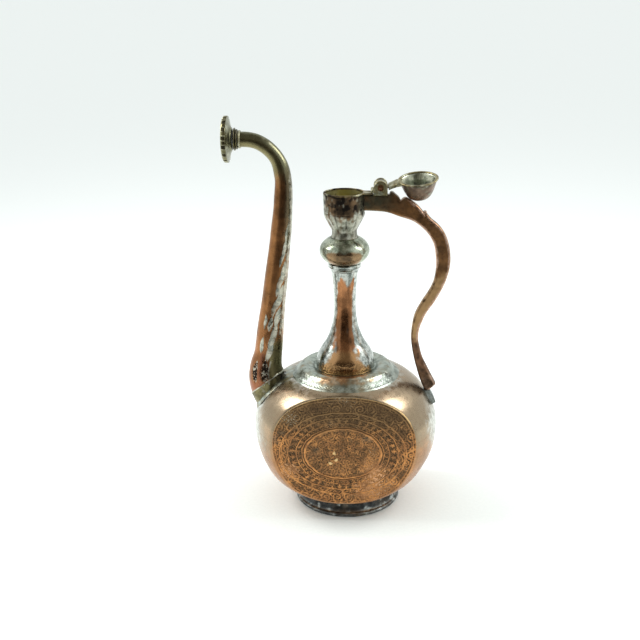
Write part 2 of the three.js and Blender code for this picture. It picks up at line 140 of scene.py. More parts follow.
# The handle's outer edge in three runs, with a notch between them, then its inner edge.
HANDLE_OUTER = [
    [(40.9, 300.4), (43, 300.4), (45.6, 298.4), (48.6, 295.6), (50.4, 292.4)],
    [(51.5, 294), (54.2, 295.2), (57.3, 294.2), (60.9, 291.8), (65.1, 288.4), (69.1, 284), (72.5, 279)],
    [
        (73.7, 280.6), (77.7, 276), (83.7, 270.8), (89.1, 264.1), (93.3, 254.6), (95.3, 243.7),
        (95.3, 232.7), (92.9, 221.6), (87.9, 209), (81.5, 197.6), (75, 187.7), (71.1, 179.1),
        (68.5, 170.4), (68, 161.7), (69.6, 152.9), (72.5, 142.6), (77.5, 132.2), (85.1, 117),
    ],
]
HANDLE_INNER = [
    (17.6, 283.8), (36, 282.7), (49.7, 278.3), (61.2, 274.2), (70.4, 267.5), (77, 259.5),
    (80.9, 250.2), (82.8, 235), (81.6, 220.5), (77.3, 209.4), (70.3, 198), (64.6, 186.5),
    (62.2, 176.3), (61.2, 166), (61.6, 157.3), (63.6, 145.5), (66.5, 133.7), (70.1, 121.8),
    (74.3, 111.6),
]
# The handle's section is laid across its two edges at equal counts of stations. These shares of the
# stations fall on these pairs of places.
HANDLE_STATIONS = 420
HANDLE_SHARES = [0, 0.08, 0.2, 0.36, 0.6, 0.8, 1]
HANDLE_OUTER_PAIRS = [
    (17.6, 298.05), (36, 298.05), (60.9, 291.8), (89.1, 264.1), (87.9, 209), (68, 161.7), (79.7, 111.7),
]
HANDLE_INNER_PAIRS = [
    (17.6, 283.8), (34, 283), (52, 278.4), (77.5, 260.1), (77.9, 209), (61.3, 164), (74.3, 111.6),
]
LEAF_OUTLINE = [
    (72.6, 111.3), (79.7, 111.3), (82.9, 105.2), (85.5, 98.4), (82.4, 96.3), (74.7, 105),
]


# ---- curves and grids of points --------------------------------------------------------------
def smooth(points, steps):
    """Points of a smooth curve through the given ones, `steps` steps along it."""
    ends = np.array([points[0], *points, points[-1]], float)
    place = np.linspace(0, len(points) - 1, steps + 1)
    index = np.minimum(place.astype(int), len(points) - 2)
    t = (place - index)[:, None]
    before, here, there, after = (ends[index + k] for k in range(4))
    leave = (there - before) / 2
    arrive = (after - here) / 2
    cubic = 2 * here - 2 * there + leave + arrive
    square = 3 * there - 3 * here - 2 * leave - arrive
    return cubic * t**3 + square * t**2 + leave * t + here


def smoothstep(low, high, value):
    """0 before `low`, 1 past `high`, smooth between. With `low` over `high` it falls as the value grows."""
    t = np.clip((value - low) / (high - low), 0, 1)
    return t * t * (3 - 2 * t)


def plateau(start, full, last, end, value):
    """0 before `start`, 1 from `full` to `last`, 0 past `end`, smooth between."""
    return smoothstep(start, full, value) * smoothstep(end, last, value)


def soft_min(a, b, width):
    """The lower of a and b, rounded over `width` where they cross."""
    near = np.maximum(width - np.abs(a - b), 0) / width
    return np.minimum(a, b) - near * near * width / 4


def noise(points, size, seed=0):
    """Smooth noise from -1 to 1 at each point; `size` is how wide its features are."""
    table = np.random.default_rng(seed).uniform(-1, 1, 4096)
    place = np.asarray(points) / size
    cell = np.floor(place).astype(np.int64)
    t = place - cell
    t = t * t * (3 - 2 * t)
    total = np.zeros(place.shape[:-1])
    for corner in np.ndindex(2, 2, 2):
        at = cell + corner
        key = (at[..., 0] * 73856093) ^ (at[..., 1] * 19349663) ^ (at[..., 2] * 83492791)
        weight = np.prod(np.where(corner, t, 1 - t), axis=-1)
        total += table[key & 4095] * weight
    return total


def layered(points, size, seed=0):
    """Noise in three layers, each half as wide and half as strong as the one before."""
    return sum(noise(points, size / 2**k, seed + k) / 2**k for k in range(3)) / 1.75


def axes(grid):
    """The x, the y and the z of a grid's points."""
    return grid[..., 0], grid[..., 1], grid[..., 2]


def aside(grid):
    """0 in front of and behind the jug's axis, 1 straight to its left or right."""
    x, y, _ = axes(grid)
    return np.abs(x) / np.maximum(np.hypot(x, y), 1)


def run_along(points):
    """How far along a line of points each of them is."""
    return np.concatenate([[0], np.cumsum(np.linalg.norm(np.diff(points, axis=0), axis=1))])


def places_along(points, share):
    """The places at these shares of the way along a line of flat points."""
    run = run_along(points)
    return np.stack([np.interp(share * run[-1], run, points[:, k]) for k in range(2)], axis=1)


def lathe(profile, columns):
    """A grid of points [row, column] turned round the jug's axis from a profile of (radius, height)."""
    profile = np.asarray(profile, float)
    angle = np.linspace(0, TURN, columns, endpoint=False)
    radius = np.maximum(profile[:, :1], 0.02)
    height = profile[:, 1:] * np.ones_like(angle)
    return np.stack([radius * np.cos(angle), radius * np.sin(angle), height], axis=-1)


def normals(points, round_rows=False):
    """The outward normal at each point of a grid whose columns go all the way round."""
    across = np.roll(points, -1, axis=1) - np.roll(points, 1, axis=1)
    if round_rows:
        along = np.roll(points, -1, axis=0) - np.roll(points, 1, axis=0)
    else:
        along = np.gradient(points, axis=0)
    cross = np.cross(across, along)
    return cross / np.maximum(np.linalg.norm(cross, axis=-1, keepdims=True), 1e-9)


def raised(points, height, round_rows=False):
    """The grid with each point moved out along its normal by `height`."""
    return points + normals(points, round_rows) * np.asarray(height)[..., None]


def inward(profile, distance):
    """An open profile moved towards its inside by `distance`."""
    profile = np.asarray(profile, float)
    along = np.gradient(profile, axis=0)
    along /= np.linalg.norm(along, axis=1, keepdims=True)
    return profile + np.stack([-along[:, 1], along[:, 0]], axis=1) * distance


def rounded_sheet(outer, wall, turns=4):
    """The closed profile of a sheet with the given outer face and two rounded edges."""
    inner = inward(outer, wall)[::-1]
    edges = []
    for start, end in ((outer[-1], inner[0]), (inner[-1], outer[0])):
        middle = (start + end) / 2
        arm = start - middle
        side = np.array([-arm[1], arm[0]])
        angles = np.linspace(0, pi, turns + 2)[1:-1]
        edges.append([middle + arm * cos(a) + side * sin(a) * 0.8 for a in angles])
    return np.concatenate([outer, edges[0], inner, edges[1]])


def grid_faces(rows, columns, round_rows, round_columns=True):
    """The quads of a grid of points."""
    row = np.arange(rows if round_rows else rows - 1)[:, None]
    column = np.arange(columns if round_columns else columns - 1)[None, :]
    next_row = (row + 1) % rows
    next_column = (column + 1) % columns
    corners = [
        row * columns + column, row * columns + next_column,
        next_row * columns + next_column, next_row * columns + column,
    ]
    return np.stack(np.broadcast_arrays(*corners), axis=-1).reshape(-1, 4)


def facing_out(points, faces):
    """The faces, turned over if they face inward."""
    flat = points.reshape(-1, 3)
    a, b, c = (flat[faces[:, k]] for k in range(3))
    middle = flat.mean(axis=0)
    outward = np.einsum("ij,ij->i", np.cross(b - a, c - a), a - middle).sum()
    return faces if outward > 0 else faces[:, ::-1]


def slab(outline, low, high, bevel, count=140):
    """A closed grid round an outline of (x, z), from y = low to y = high, with rounded edges."""
    closed = np.array([*outline, outline[0]], float)
    edge = places_along(closed, np.linspace(0, 1, count, endpoint=False))
    middle = edge.mean(axis=0)
    reach = np.linalg.norm(edge - middle, axis=1, keepdims=True)
    flat = [(share, low) for share in (0.002, 0.2, 0.35, 0.5, 0.65, 0.8)]
    sides = [(turn, low + bevel * (1 - sin(radians(turn)))) for turn in (90, 60, 30, 0)]
    sides += [(turn, high - bevel * (1 - sin(radians(turn)))) for turn in (0, 30, 60, 90)]
    shares = [(np.full_like(reach, share), y) for share, y in flat]
    shares += [(1 - bevel * (1 - cos(radians(turn))) / reach, y) for turn, y in sides]
    shares += [(np.full_like(reach, share), high) for share, _ in flat[::-1]]
    rings = [middle + (edge - middle) * share for share, _ in shares]
    return np.stack([
        np.stack([ring[:, 0], np.full(count, y), ring[:, 1]], axis=1)
        for ring, (_, y) in zip(rings, shares)
    ])


# ---- pieces ----------------------------------------------------------------------------------
NO_WEAR = {"veil": 0.2, "red": 0.0, "green": 0.0}


def add_piece(name, points, faces, material, nodes, body="jug", **values):
    """A smooth mesh piece that stands for CAD nodes. `values` are numbers kept at its points."""
    mesh = bpy.data.meshes.new(name)
    place = np.asarray(points, float).reshape(-1, 3) * MM
    place[:, 0] += AXIS_X * MM
    mesh.from_pydata(place, [], [list(face) for face in faces])
    for key, value in (NO_WEAR | values).items():
        layer = mesh.attributes.new(key, "FLOAT", "POINT")
        spread = np.broadcast_to(value, np.asarray(points).shape[:-1])
        layer.data.foreach_set("value", np.ascontiguousarray(spread, dtype=np.float32).ravel())
    mesh.shade_smooth()
    mesh.materials.append(material)
    made = bpy.data.objects.new(name, mesh)
    bpy.context.scene.collection.objects.link(made)
    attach(made, body)
    if nodes:
        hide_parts(*nodes)


def grid_piece(name, points, material, nodes, body="jug", round_rows=False, **values):
    """A piece from a grid of points whose columns go all the way round."""
    rows, columns = points.shape[:2]
    faces = facing_out(points, grid_faces(rows, columns, round_rows))
    add_piece(name, points, faces, material, nodes, body, **values)


# ---- materials -------------------------------------------------------------------------------
def colour(red, green, blue):
    """A colour from the usual 0 to 255 numbers."""
    share = [value / 255 for value in (red, green, blue)]
    return (*[v / 12.92 if v <= 0.04045 else ((v + 0.055) / 1.055) ** 2.4 for v in share], 1)


class Paint:
    """One material. Each method adds a node and gives back its output."""

    def __init__(self, name):
        self.material = bpy.data.materials.new(name)
        self.material.use_nodes = True
        self.nodes = self.material.node_tree.nodes
        self.links = self.material.node_tree.links
        self.shader = self.nodes["Principled BSDF"]
        self.place = self.nodes.new("ShaderNodeTexCoord").outputs["Object"]

    def plug(self, socket, value):
        """Links a node's output to a socket, or sets the socket to a plain value."""
        if isinstance(value, bpy.types.NodeSocket):
            self.links.new(value, socket)
        else:
            socket.default_value = value

    def node(self, kind, inputs, output=0, **settings):
        """A new node with these inputs and settings."""
        made = self.nodes.new(kind)
        for key, value in settings.items():
            setattr(made, key, value)
        for key, value in inputs.items():
            self.plug(made.inputs[key], value)
        return made.outputs[output]

    def number(self, name):
        """A number held at the mesh's points."""
        return self.node("ShaderNodeAttribute", {}, "Fac", attribute_name=name)

    def noise(self, size, detail=3.0, rough=0.55):
        """Noise around 0.5 with features `size` millimetres wide."""
        inputs = {"Vector": self.place, "Scale": 1 / (size * MM), "Detail": detail, "Roughness": rough}
        return self.node("ShaderNodeTexNoise", inputs)

    def cells(self, size):
        """Smooth cells about `size` millimetres wide, like the marks of a hammer."""
        inputs = {"Vector": self.place, "Scale": 1 / (size * MM)}
        return self.node("ShaderNodeTexVoronoi", inputs, "Distance", feature="SMOOTH_F1")

    def math(self, operation, a, b):
        """One operation on two numbers."""
        return self.node("ShaderNodeMath", {0: a, 1: b}, operation=operation)

    def plus(self, a, b, share):
        """a plus a share of b."""
        return self.math("ADD", a, self.math("MULTIPLY", b, share))

    def ramp(self, value, low, high, start=0.0, end=1.0):
        """`start` where the value is under `low`, `end` over `high`, smooth between."""
        inputs = {"Value": value, "From Min": low, "From Max": high, "To Min": start, "To Max": end}
        return self.node("ShaderNodeMapRange", inputs, interpolation_type="SMOOTHSTEP")

    def mix(self, factor, a, b):
        """Colour `a` where the factor is 0 and `b` where it is 1."""
        return self.node("ShaderNodeMix", {0: factor, 6: a, 7: b}, 2, data_type="RGBA")

    def bump(self, height, strength, depth):
        """The surface's tilt for a height that is worth `depth` millimetres."""
        inputs = {"Height": height, "Strength": strength, "Distance": depth * MM}
        return self.node("ShaderNodeBump", inputs)

    def finish(self, base, rough, normal):
        """The metal with this colour, roughness and tilt."""
        self.plug(self.shader.inputs["Base Color"], base)
        self.plug(self.shader.inputs["Roughness"], rough)
        self.plug(self.shader.inputs["Normal"], normal)
        self.shader.inputs["Metallic"].default_value = 1.0
        return self.material


FILM = (176, 146, 120)
# This tin colour and the dull one below it paint whole tin and also painted highlights and reflections.
TIN_AND_SHEEN = (206, 206, 198)
GREY_TIN_AND_SHEEN = (138, 142, 134)
# The dirt colour paints dirt and also painted shade.
SOOT_AND_SHADE = (40, 35, 31)
RED_COPPER = (150, 98, 76)
MOSS = (94, 98, 82)


def worn_metal(name, bright, deep, veil=FILM, tin=TIN_AND_SHEEN, dull_tin=GREY_TIN_AND_SHEEN, dirt_and_shade=SOOT_AND_SHADE, rough=0.2, grain=0.5):
    """Copper with what is left of its tinning. Numbers kept at the points say where a thin film shows
    ("veil"), where whole tin shows along with painted highlights and reflections (the tin-and-sheen
    number), and where dirt shows along with painted shade ("dark"); "red" and "green" say where the copper
    is redder or mossy."""
    paint = Paint(name)
    clouds = paint.noise(18)
    mottle = paint.noise(5, 5.0, 0.6)
    specks = paint.noise(0.9, 2.0)
    copper = paint.mix(paint.ramp(clouds, 0.36, 0.64), colour(*deep), colour(*bright))
    film = paint.plus(paint.number("veil"), mottle, 0.5)
    copper = paint.mix(paint.ramp(film, 0.3, 1.1), copper, colour(*veil))
    copper = paint.mix(paint.number("red"), copper, colour(*RED_COPPER))
    copper = paint.mix(paint.number("green"), copper, colour(*MOSS))
    # Tin, and the painted highlights and reflections that share its colours.
    tinning = paint.mix(paint.ramp(mottle, 0.36, 0.62), colour(*dull_tin), colour(*tin))
    edge = paint.plus(paint.number("tin"), mottle, 0.8)
    base = paint.mix(paint.ramp(edge, 0.6, 1.25), copper, tinning)
    # Dirt, and the painted shade that shares its colour.
    stain_and_shade = paint.ramp(paint.plus(paint.number("dark"), specks, 0.35), 0.3, 1.15)
    base = paint.mix(stain_and_shade, base, colour(*dirt_and_shade))
    smudge = paint.ramp(mottle, 0.35, 0.7, rough, rough + 0.12)
    height = paint.math("ADD", paint.cells(3.0), specks)
    normal = paint.bump(height, 0.25 * grain, 0.3)
    return paint.finish(base, paint.plus(smudge, stain_and_shade, 0.3), normal)


# ---- studio ------------------------------------------------------------------------------------
CAMERA_PLACE = (0.0293, -0.8602, 0.4828)  # metres from the foot of the jug's axis
CAMERA_TURNS = (3.5, 19.39, 0.94)  # swing, pitch and roll in degrees
SENSOR_WIDTH = 36
LENS = 55.2375
SOFT_BOX = 0.45  # metres each way
LIGHT_AIM = (0, 0, 0.15)
FLOOR_HALF = 60.0
# The dim room's section in metres: depth and height.
ROOM_ARC = [(-0.26, 0.002), (-0.6, 0.002), (-1.0, 0.25), (-1.0, 0.7), (-0.7, 1.0), (0.25, 1.05)]
ROOM_HALF_WIDTH = 0.8


def add_camera():
    """The camera at the photograph's viewing angle."""
    swing, pitch, roll = (radians(turn) for turn in CAMERA_TURNS)
    forward = Vector((-sin(swing) * cos(pitch), cos(swing) * cos(pitch), -sin(pitch)))
    right = Vector((cos(swing), sin(swing), 0))
    up = right.cross(forward)
    side = right * cos(roll) - up * sin(roll)
    top = right * sin(roll) + up * cos(roll)
    camera = bpy.data.objects.new("camera", bpy.data.cameras.new("camera"))
    camera.data.sensor_width = SENSOR_WIDTH
    camera.data.lens = LENS
    camera.data.clip_start = 0.02
    camera.data.clip_end = 50
    turned = Matrix((side, top, -forward)).transposed().to_4x4()
    place = Vector(CAMERA_PLACE) + Vector((AXIS_X * MM, 0, 0))
    camera.matrix_world = Matrix.Translation(place) @ turned
    bpy.context.scene.collection.objects.link(camera)
    bpy.context.scene.camera = camera


def add_light(name, place, power):
    """A soft box that faces the jug's body."""
    data = bpy.data.lights.new(name, "AREA")
    data.shape = "RECTANGLE"
    data.size = data.size_y = SOFT_BOX
    data.energy = power
    light = bpy.data.objects.new(name, data)
    light.location = place
    light.rotation_mode = "QUATERNION"
    light.rotation_quaternion = (Vector(place) - Vector(LIGHT_AIM)).to_track_quat("Z", "Y")
    bpy.context.scene.collection.objects.link(light)


def floor_material():
    """Pale paper, with painted shade that makes it a little darker near the camera."""
    paint = Paint("floor_paper")
    fibres = paint.noise(3, 2.0)
    far = paint.node("ShaderNodeSeparateXYZ", {"Vector": paint.place}, "Y")
    shaded_near_tone = paint.mix(paint.ramp(fibres, 0.3, 0.7), colour(228, 231, 228), colour(231, 234, 231))
    far_tone = paint.mix(paint.ramp(fibres, 0.3, 0.7), colour(246, 249, 248), colour(249, 251, 250))
    # Painted shade: darker near the camera, lighter far behind the jug.
    base = paint.mix(paint.ramp(far, -0.06, 0.16), shaded_near_tone, far_tone)
    paint.plug(paint.shader.inputs["Base Color"], base)
    paint.shader.inputs["Metallic"].default_value = 0
    paint.shader.inputs["Roughness"].default_value = 0.9
    paint.shader.inputs["Specular IOR Level"].default_value = 0.1
    return paint.material


def add_floor():
    """A wide pale floor."""
    mesh = bpy.data.meshes.new("floor")
    corners = [(x * FLOOR_HALF, y * FLOOR_HALF, 0) for x, y in ((-1, -1), (1, -1), (1, 1), (-1, 1))]
    mesh.from_pydata(corners, [], [(0, 1, 2, 3)])
    mesh.materials.append(floor_material())
    floor = bpy.data.objects.new("floor", mesh)
    bpy.context.scene.collection.objects.link(floor)


def add_dim_room():
    """The dim room round the camera, as only reflections see it: from the white table's front edge,
    up behind the camera and over the jug."""
    paint = Paint("dim_room")
    up = paint.node("ShaderNodeSeparateXYZ", {"Vector": paint.place}, "Z")
    tone = paint.mix(paint.ramp(up, 0.25, 1.0), colour(64, 58, 50), colour(140, 135, 124))
    emit = paint.node("ShaderNodeEmission", {"Color": tone, "Strength": 1.0})
    paint.links.new(emit, paint.nodes["Material Output"].inputs["Surface"])
    arc = smooth(ROOM_ARC, 40)
    columns = 12
    narrowing = 1 - 0.45 * smoothstep(0.5, 1.0, arc[:, 1:])
    across = np.linspace(-ROOM_HALF_WIDTH, ROOM_HALF_WIDTH, columns) * narrowing
    deep, high = (np.broadcast_to(arc[:, k : k + 1], across.shape) for k in range(2))
    points = np.stack([across, deep, high], axis=-1)
    mesh = bpy.data.meshes.new("dim_room")
    faces = grid_faces(len(arc), columns, False, False)
    mesh.from_pydata(points.reshape(-1, 3), [], [list(face) for face in faces])
    mesh.materials.append(paint.material)
    room = bpy.data.objects.new("dim_room", mesh)
    room.visible_camera = False
    room.visible_diffuse = False
    room.visible_shadow = False
    bpy.context.scene.collection.objects.link(room)


def add_studio():
    """A pale world, the floor, the dim room and two soft boxes."""
    world = bpy.data.worlds.new("studio")
    world.use_nodes = True
    background = world.node_tree.nodes["Background"]
    background.inputs["Color"].default_value = colour(244, 248, 247)
    background.inputs["Strength"].default_value = 1.0
    bpy.context.scene.world = world
    bpy.context.scene.view_settings.view_transform = "Standard"
    add_floor()
    add_dim_room()
    add_light("left_box", (-0.75, 0.1, 0.85), 7.5)
    add_light("right_box", (0.75, 0.1, 0.85), 5.5)


# ---- foot and body -----------------------------------------------------------------------------
def foot_ring(material):
    """The dark, scuffed ring that the jug stands on."""
    grid = lathe(rounded_sheet(smooth(FOOT_OUTLINE, 28), FOOT_WALL), 240)
    wear = noise(grid, 9, 3) * 0.2 + noise(grid, 3, 4) * 0.08
    grid = raised(grid, wear - 0.25, True)
    grid[..., 0] += FOOT_OFFSET
    grid[..., 2] = np.maximum(grid[..., 2], 0)
    flange = smoothstep(3.2, 1.2, np.abs(grid[..., 2] - 3.6))
    scuffs = smoothstep(0.15, 0.5, layered(grid, 5, 9)) + 0.5 * flange
    tin = 0.1 + 0.6 * scuffs
    veil = 0.5 + 0.6 * layered(grid, 8, 10)
    dark = 0.56 - 0.4 * scuffs + 0.35 * layered(grid, 4, 11)
    grid_piece("foot", grid, material, ["foot_ring"], round_rows=True, tin=tin, dark=dark, veil=veil)


def body_radius(height):
    """The body's radius at a height, from its outline."""
    outline = smooth(BODY_OUTLINE, 400)
    return np.interp(height, outline[:, 1], outline[:, 0])


def lopsided(points):
    """The beaten body's width as a share of the round one's: narrower above and below on the handle's
    side, a little wider on the spout's."""
    x, _, z = axes(points)
    high = plateau(88, 106, 122, 128, z)
    low = plateau(14, 22, 36, 62, z)
    handle_side = smoothstep(0, 40, x)
    spout_side = smoothstep(0, -40, x)
    return 1 - handle_side * (0.028 * high + 0.02 * low) + 0.008 * spout_side * (1 - high)


def body_grid(profile):
    """The body's skin, with its front and back pressed flat."""
    grid = lathe(profile, 640)
    depth = grid[..., 1]
    grid[..., 1] = np.sign(depth) * soft_min(np.abs(depth), np.full_like(depth, FLAT_FACE), 2.0)
    grid[..., 0] *= lopsided(grid)
    dents = noise(grid, 26, 11) * 0.22 + noise(grid, 9, 12) * 0.05
    return raised(grid, np.minimum(dents - 0.28, 0))


def body_values(grid):
    """Where film, tin and dirt show on the body. The tin on its left and right sides is partly a painted
    reflection of the white studio.
    """
    x, y, z = axes(grid)
    side = smoothstep(0.8, 1.0, np.abs(x) / BODY_RADIUS)
    crown = smoothstep(68, 50, np.hypot(x, y)) * smoothstep(110, 120, z)
    clouds = layered(grid, 18, 21) * 0.3
    root = smoothstep(34, 20, np.linalg.norm(grid - SPOUT_ROOT, axis=-1))
    across = smoothstep(0.45, 0.85, aside(grid))
    # Tin and film on the left and right sides, and the crown's tin that grows to the sides, are partly real
    # and partly a painted reflection of the white studio.
    veil = 0.15 + 0.75 * smoothstep(50, 105, z) + 0.3 * side + 0.4 * root + clouds
    tin = 0.02 + 0.75 * side * smoothstep(40, 80, z) + crown * (0.12 + 0.4 * across) + 0.45 * root + clouds
    dark = 0.06 + 0.15 * crown * smoothstep(0, 0.5, layered(grid, 3, 23)) + 0.12 * layered(grid, 24, 22)
    return {"veil": veil, "tin": tin, "dark": dark}


def lower_body(material):
    """The bowl below the seam, with its slightly raised bottom."""
    outline = smooth(BODY_OUTLINE, 320)
    edge = SEAM_HEIGHT - SEAM_GAP
    below = outline[outline[:, 1] <= edge]
    bottom = [(0.02, 14.2), (30, 13.2)]
    grid = body_grid(np.concatenate([bottom, below, [(body_radius(edge), edge)]]))
    grid_piece("body_below", grid, material, ["lower_body"], **body_values(grid))


def upper_body(material):
    """The bowl above the seam, turned in to the shoulder."""
    outline = smooth(BODY_OUTLINE, 320)
    edge = SEAM_HEIGHT + SEAM_GAP
    above = outline[outline[:, 1] >= edge]
    grid = body_grid(np.concatenate([[(body_radius(edge), edge)], above]))
    grid_piece("body_above", grid, material, ["upper_body"], **body_values(grid))


# ---- chased panels -----------------------------------------------------------------------------
PANEL_CENTRE = (-1.1, 69)
OVAL = (35.0, 25.0)  # half width and half height of the oval in the panel's middle
# The panel's rings, in ovals as many times as large: where each ends.
MIDDLE_END = 1.0
PLAIN_END = 1.075
DIAMONDS_END = 1.22
PALMETTES_END = 1.445
CARTOUCHES_END = 1.655
# The raised rims between the rings: where each runs, and its width.
RIMS = [
    (MIDDLE_END, 1.3), (PLAIN_END, 0.35), (DIAMONDS_END + 0.005, 0.4), (PALMETTES_END, 0.5),
    (CARTOUCHES_END, 0.7),
]
# Each ring's own oval, and how many motifs go round it.
DIAMOND_RING = (1.16, 46)
PALMETTE_RING = (1.33, 40)
CARTOUCHE_RING = (1.55, 20)
# The pale sprigs in the middle: x, y and lean.
SPRIGS = [(-9.5, -0.5, 0.5), (-5.0, -7.5, 2.2), (-12.0, -11.0, 1.2)]


def line(distance, width):
    """1 on a line and 0 beside it, from a distance in millimetres."""
    return 1 - smoothstep(width * 0.5, width * 0.5 + 0.35, np.abs(distance))


def ellipse(x, y, centre, half, lean=0.0):
    """1 inside a small leaning ellipse."""
    dx, dy = x - centre[0], y - centre[1]
    along = dx * cos(lean) + dy * sin(lean)
    across = dy * cos(lean) - dx * sin(lean)
    reach = np.sqrt((along / half[0]) ** 2 + (across / half[1]) ** 2)
    return 1 - smoothstep(0.8, 1.15, reach)


def flower(x, y, radius, petals=6):
    """A small open flower round (0, 0), with a dark eye."""
    reach = np.hypot(x, y)
    edge = radius * (0.78 + 0.22 * np.cos(petals * np.arctan2(y, x)))
    bloom = 1 - smoothstep(-0.2, 0.25, reach - edge)
    eye = 1 - smoothstep(0.25, 0.5, np.abs(reach - radius * 0.38))
    return bloom * (1 - 0.8 * eye)


def scroll(x, y, pitch, hand):
    """A spiral stem round (0, 0) that ends in a flower, with leaves along it."""
    reach = np.hypot(x, y)
    turn = hand * np.arctan2(y, x) / TURN
    phase = reach / pitch - turn
    from_stem = (phase - np.round(phase)) * pitch
    stem = line(from_stem, 0.55)
    leafing = np.cos(TURN * (turn * 7 + reach / pitch * 0.4))
    leaves = smoothstep(0.35, 0.75, leafing) * line(from_stem, 1.7)
    return np.maximum.reduce([stem, leaves * 0.9, flower(x, y, pitch * 0.62)])


def flowers(x, y, spacing):
    """Small flowers scattered about a lattice, each pushed off its place and of its own size."""
    column, row = np.round(x / spacing), np.round(y / spacing)
    cell = np.stack([column, row, np.zeros_like(x)], axis=-1) + 0.5
    dx = x - (column + 0.3 * noise(cell * 3.7, 1, 36)) * spacing
    dy = y - (row + 0.3 * noise(cell * 3.7, 1, 37)) * spacing
    size = 1.55 + 0.5 * noise(cell * 3.7, 1, 38)
    return flower(dx / size, dy / size, 1.0, 5)


def scroll_field(x, y, spacing, pitch):
    """Scrolls on a staggered lattice, turning alternate ways."""
    rows = np.round(y / (spacing * 0.86))
    shift = np.where(rows % 2 == 0, 0.0, 0.5)
    columns = np.round(x / spacing - shift)
    dx = x - (columns + shift) * spacing
    dy = y - rows * spacing * 0.86
    hand = np.where((rows + columns) % 2 == 0, 1.0, -1.0)
    return scroll(dx, dy, pitch, hand)


def oval_place(x, y):
    """How far out a point is in ovals round the panel's middle, its share round, and mm per unit out."""
    a, b = OVAL
    out = np.hypot(x / a, y / b)
    slope = np.hypot(x / a**2, y / b**2) / np.maximum(out, 1e-6)
    angle = np.linspace(0, TURN, 721)
    run = run_along(np.stack([a * np.cos(angle), b * np.sin(angle)], axis=1))
    at = np.arctan2(y / b, x / a) % TURN
    share = np.interp(at, angle, run / run[-1])
    return out, share, 1 / np.maximum(slope, 1e-6), run[-1]


def ring_cells(oval, ring):
    """Cells along an oval ring: the cell's number, and the place in it along and across, in mm."""
    out, share, scale, around = oval
    middle, count = ring
    place = share * count
    number = np.floor(place)
    along = (place - number - 0.5) * around * middle / count
    across = (out - middle) * scale
    return number, along, across


def palmettes(along, across, number):
    """A leafy spray that points outward in even cells and inward in odd ones."""
    up = across * np.where(number % 2 == 0, 1, -1)
    spray = [
        ellipse(along, up, (0, 1.1), (0.75, 1.5)),
        ellipse(along, up, (1.35, 0.1), (1.3, 0.5), 0.7),
        ellipse(along, up, (-1.35, 0.1), (1.3, 0.5), -0.7),
        ellipse(along, up, (1.0, -1.5), (1.0, 0.4), -0.5),
        ellipse(along, up, (-1.0, -1.5), (1.0, 0.4), 0.5),
        line(along, 0.3) * (np.abs(up) < 2.4),
    ]
    return np.maximum.reduce(spray)


def diamonds(along, across, half):
    """A small diamond with a dot in it."""
    reach = np.abs(along) + np.abs(across)
    return np.maximum(line(reach - half, 0.35), 1 - smoothstep(0.2, 0.5, reach))


def cartouches(along, across, length, depth):
    """Long lobed frames with a flower and leaves in each, and a finial between them."""
    reach = np.abs(along) / (length / 2)
    edge = depth / 2 * np.clip(1 - reach**3, 0, 1) * (0.86 + 0.14 * np.cos(reach * TURN * 1.5))
    frame_line = line(np.abs(across) - edge, 0.5) * (reach < 1)
    vine = line(across - 0.9 * np.sin(along / length * TURN * 2), 0.4)
    bloom = flower(along, across, 1.7, 5)
    beside = flower(np.abs(along) - length * 0.24, across, 1.1, 4)
    inside = np.maximum.reduce([vine, bloom, beside]) * (np.abs(across) < edge - 0.6)
    tip = length / 2 - np.abs(along)
    bud = ellipse(tip, np.abs(across), (0.2, 0.6), (0.5, 1.1))
    tendril = ellipse(tip, np.abs(across), (1.1, depth * 0.36), (1.3, 0.4), 0.6)
    return np.maximum.reduce([frame_line, inside, bud, tendril])


def sprigs(x, y):
    """Three small sprays of three leaves, rubbed pale."""
    leaves = []
    for root_x, root_y, lean in SPRIGS:
        for turn in (lean - 0.55, lean, lean + 0.55):
            middle = (root_x + 1.6 * cos(turn), root_y + 1.6 * sin(turn))
            leaves.append(ellipse(x, y, middle, (1.7, 0.6), turn))
    return np.maximum.reduce(leaves)


def curls(x, y, size, seed):
    """Fine curling lines that fill the ground between the motifs."""
    place = np.stack([x, y, np.zeros_like(x)], axis=-1)
    return 1 - smoothstep(0.06, 0.2, np.abs(noise(place, size, seed)))


def panel_pattern(x, y, edge):
    """How much of the copper stands up in the chased panel. `edge` is the distance to its outline."""
    place = np.stack([x, y, np.zeros_like(x)], axis=-1)
    x = x - PANEL_CENTRE[0] + 0.5 * noise(place, 5, 25)
    y = y + 0.5 * noise(place, 5, 26)
    oval = oval_place(x, y)
    out, _, scale, around = oval
    pale = sprigs(x, y)
    middle = np.maximum.reduce([0.5 * scroll_field(x + 1.5, y - 0.5, 10.5, 2.3), flowers(x, y, 8.6), pale])
    _, along, across = ring_cells(oval, DIAMOND_RING)
    small = diamonds(along, across, 1.35)
    number, along, across = ring_cells(oval, PALMETTE_RING)
    floral = palmettes(along, across, number)
    _, along, across = ring_cells(oval, CARTOUCHE_RING)
    framed = cartouches(along, across, around * CARTOUCHE_RING[0] / CARTOUCHE_RING[1], 6.0)
    outer = np.maximum(scroll_field(x, y, 10.4, 2.7), 0.8 * flowers(x, y, 6.4))
    ends = [MIDDLE_END, DIAMONDS_END, PALMETTES_END, CARTOUCHES_END]
    pattern = np.select([out < end for end in ends], [middle, small, floral, framed], outer)
    rims = [line((out - end) * scale, width) for end, width in RIMS]
    rims.append(line(edge - 3.0, 0.5))
    plain = (out > MIDDLE_END) & (out < PLAIN_END)
    fill = 0.6 * curls(x, y, 1.7, 27)
    worn = 0.75 + 0.35 * noise(place, 4, 28)
    pattern = np.where(plain, 0.15, np.maximum(pattern * worn, fill))
    border = 0.6 * smoothstep(1.6, 1.1, edge)
    return np.maximum.reduce([pattern, *rims, border]), pale, out


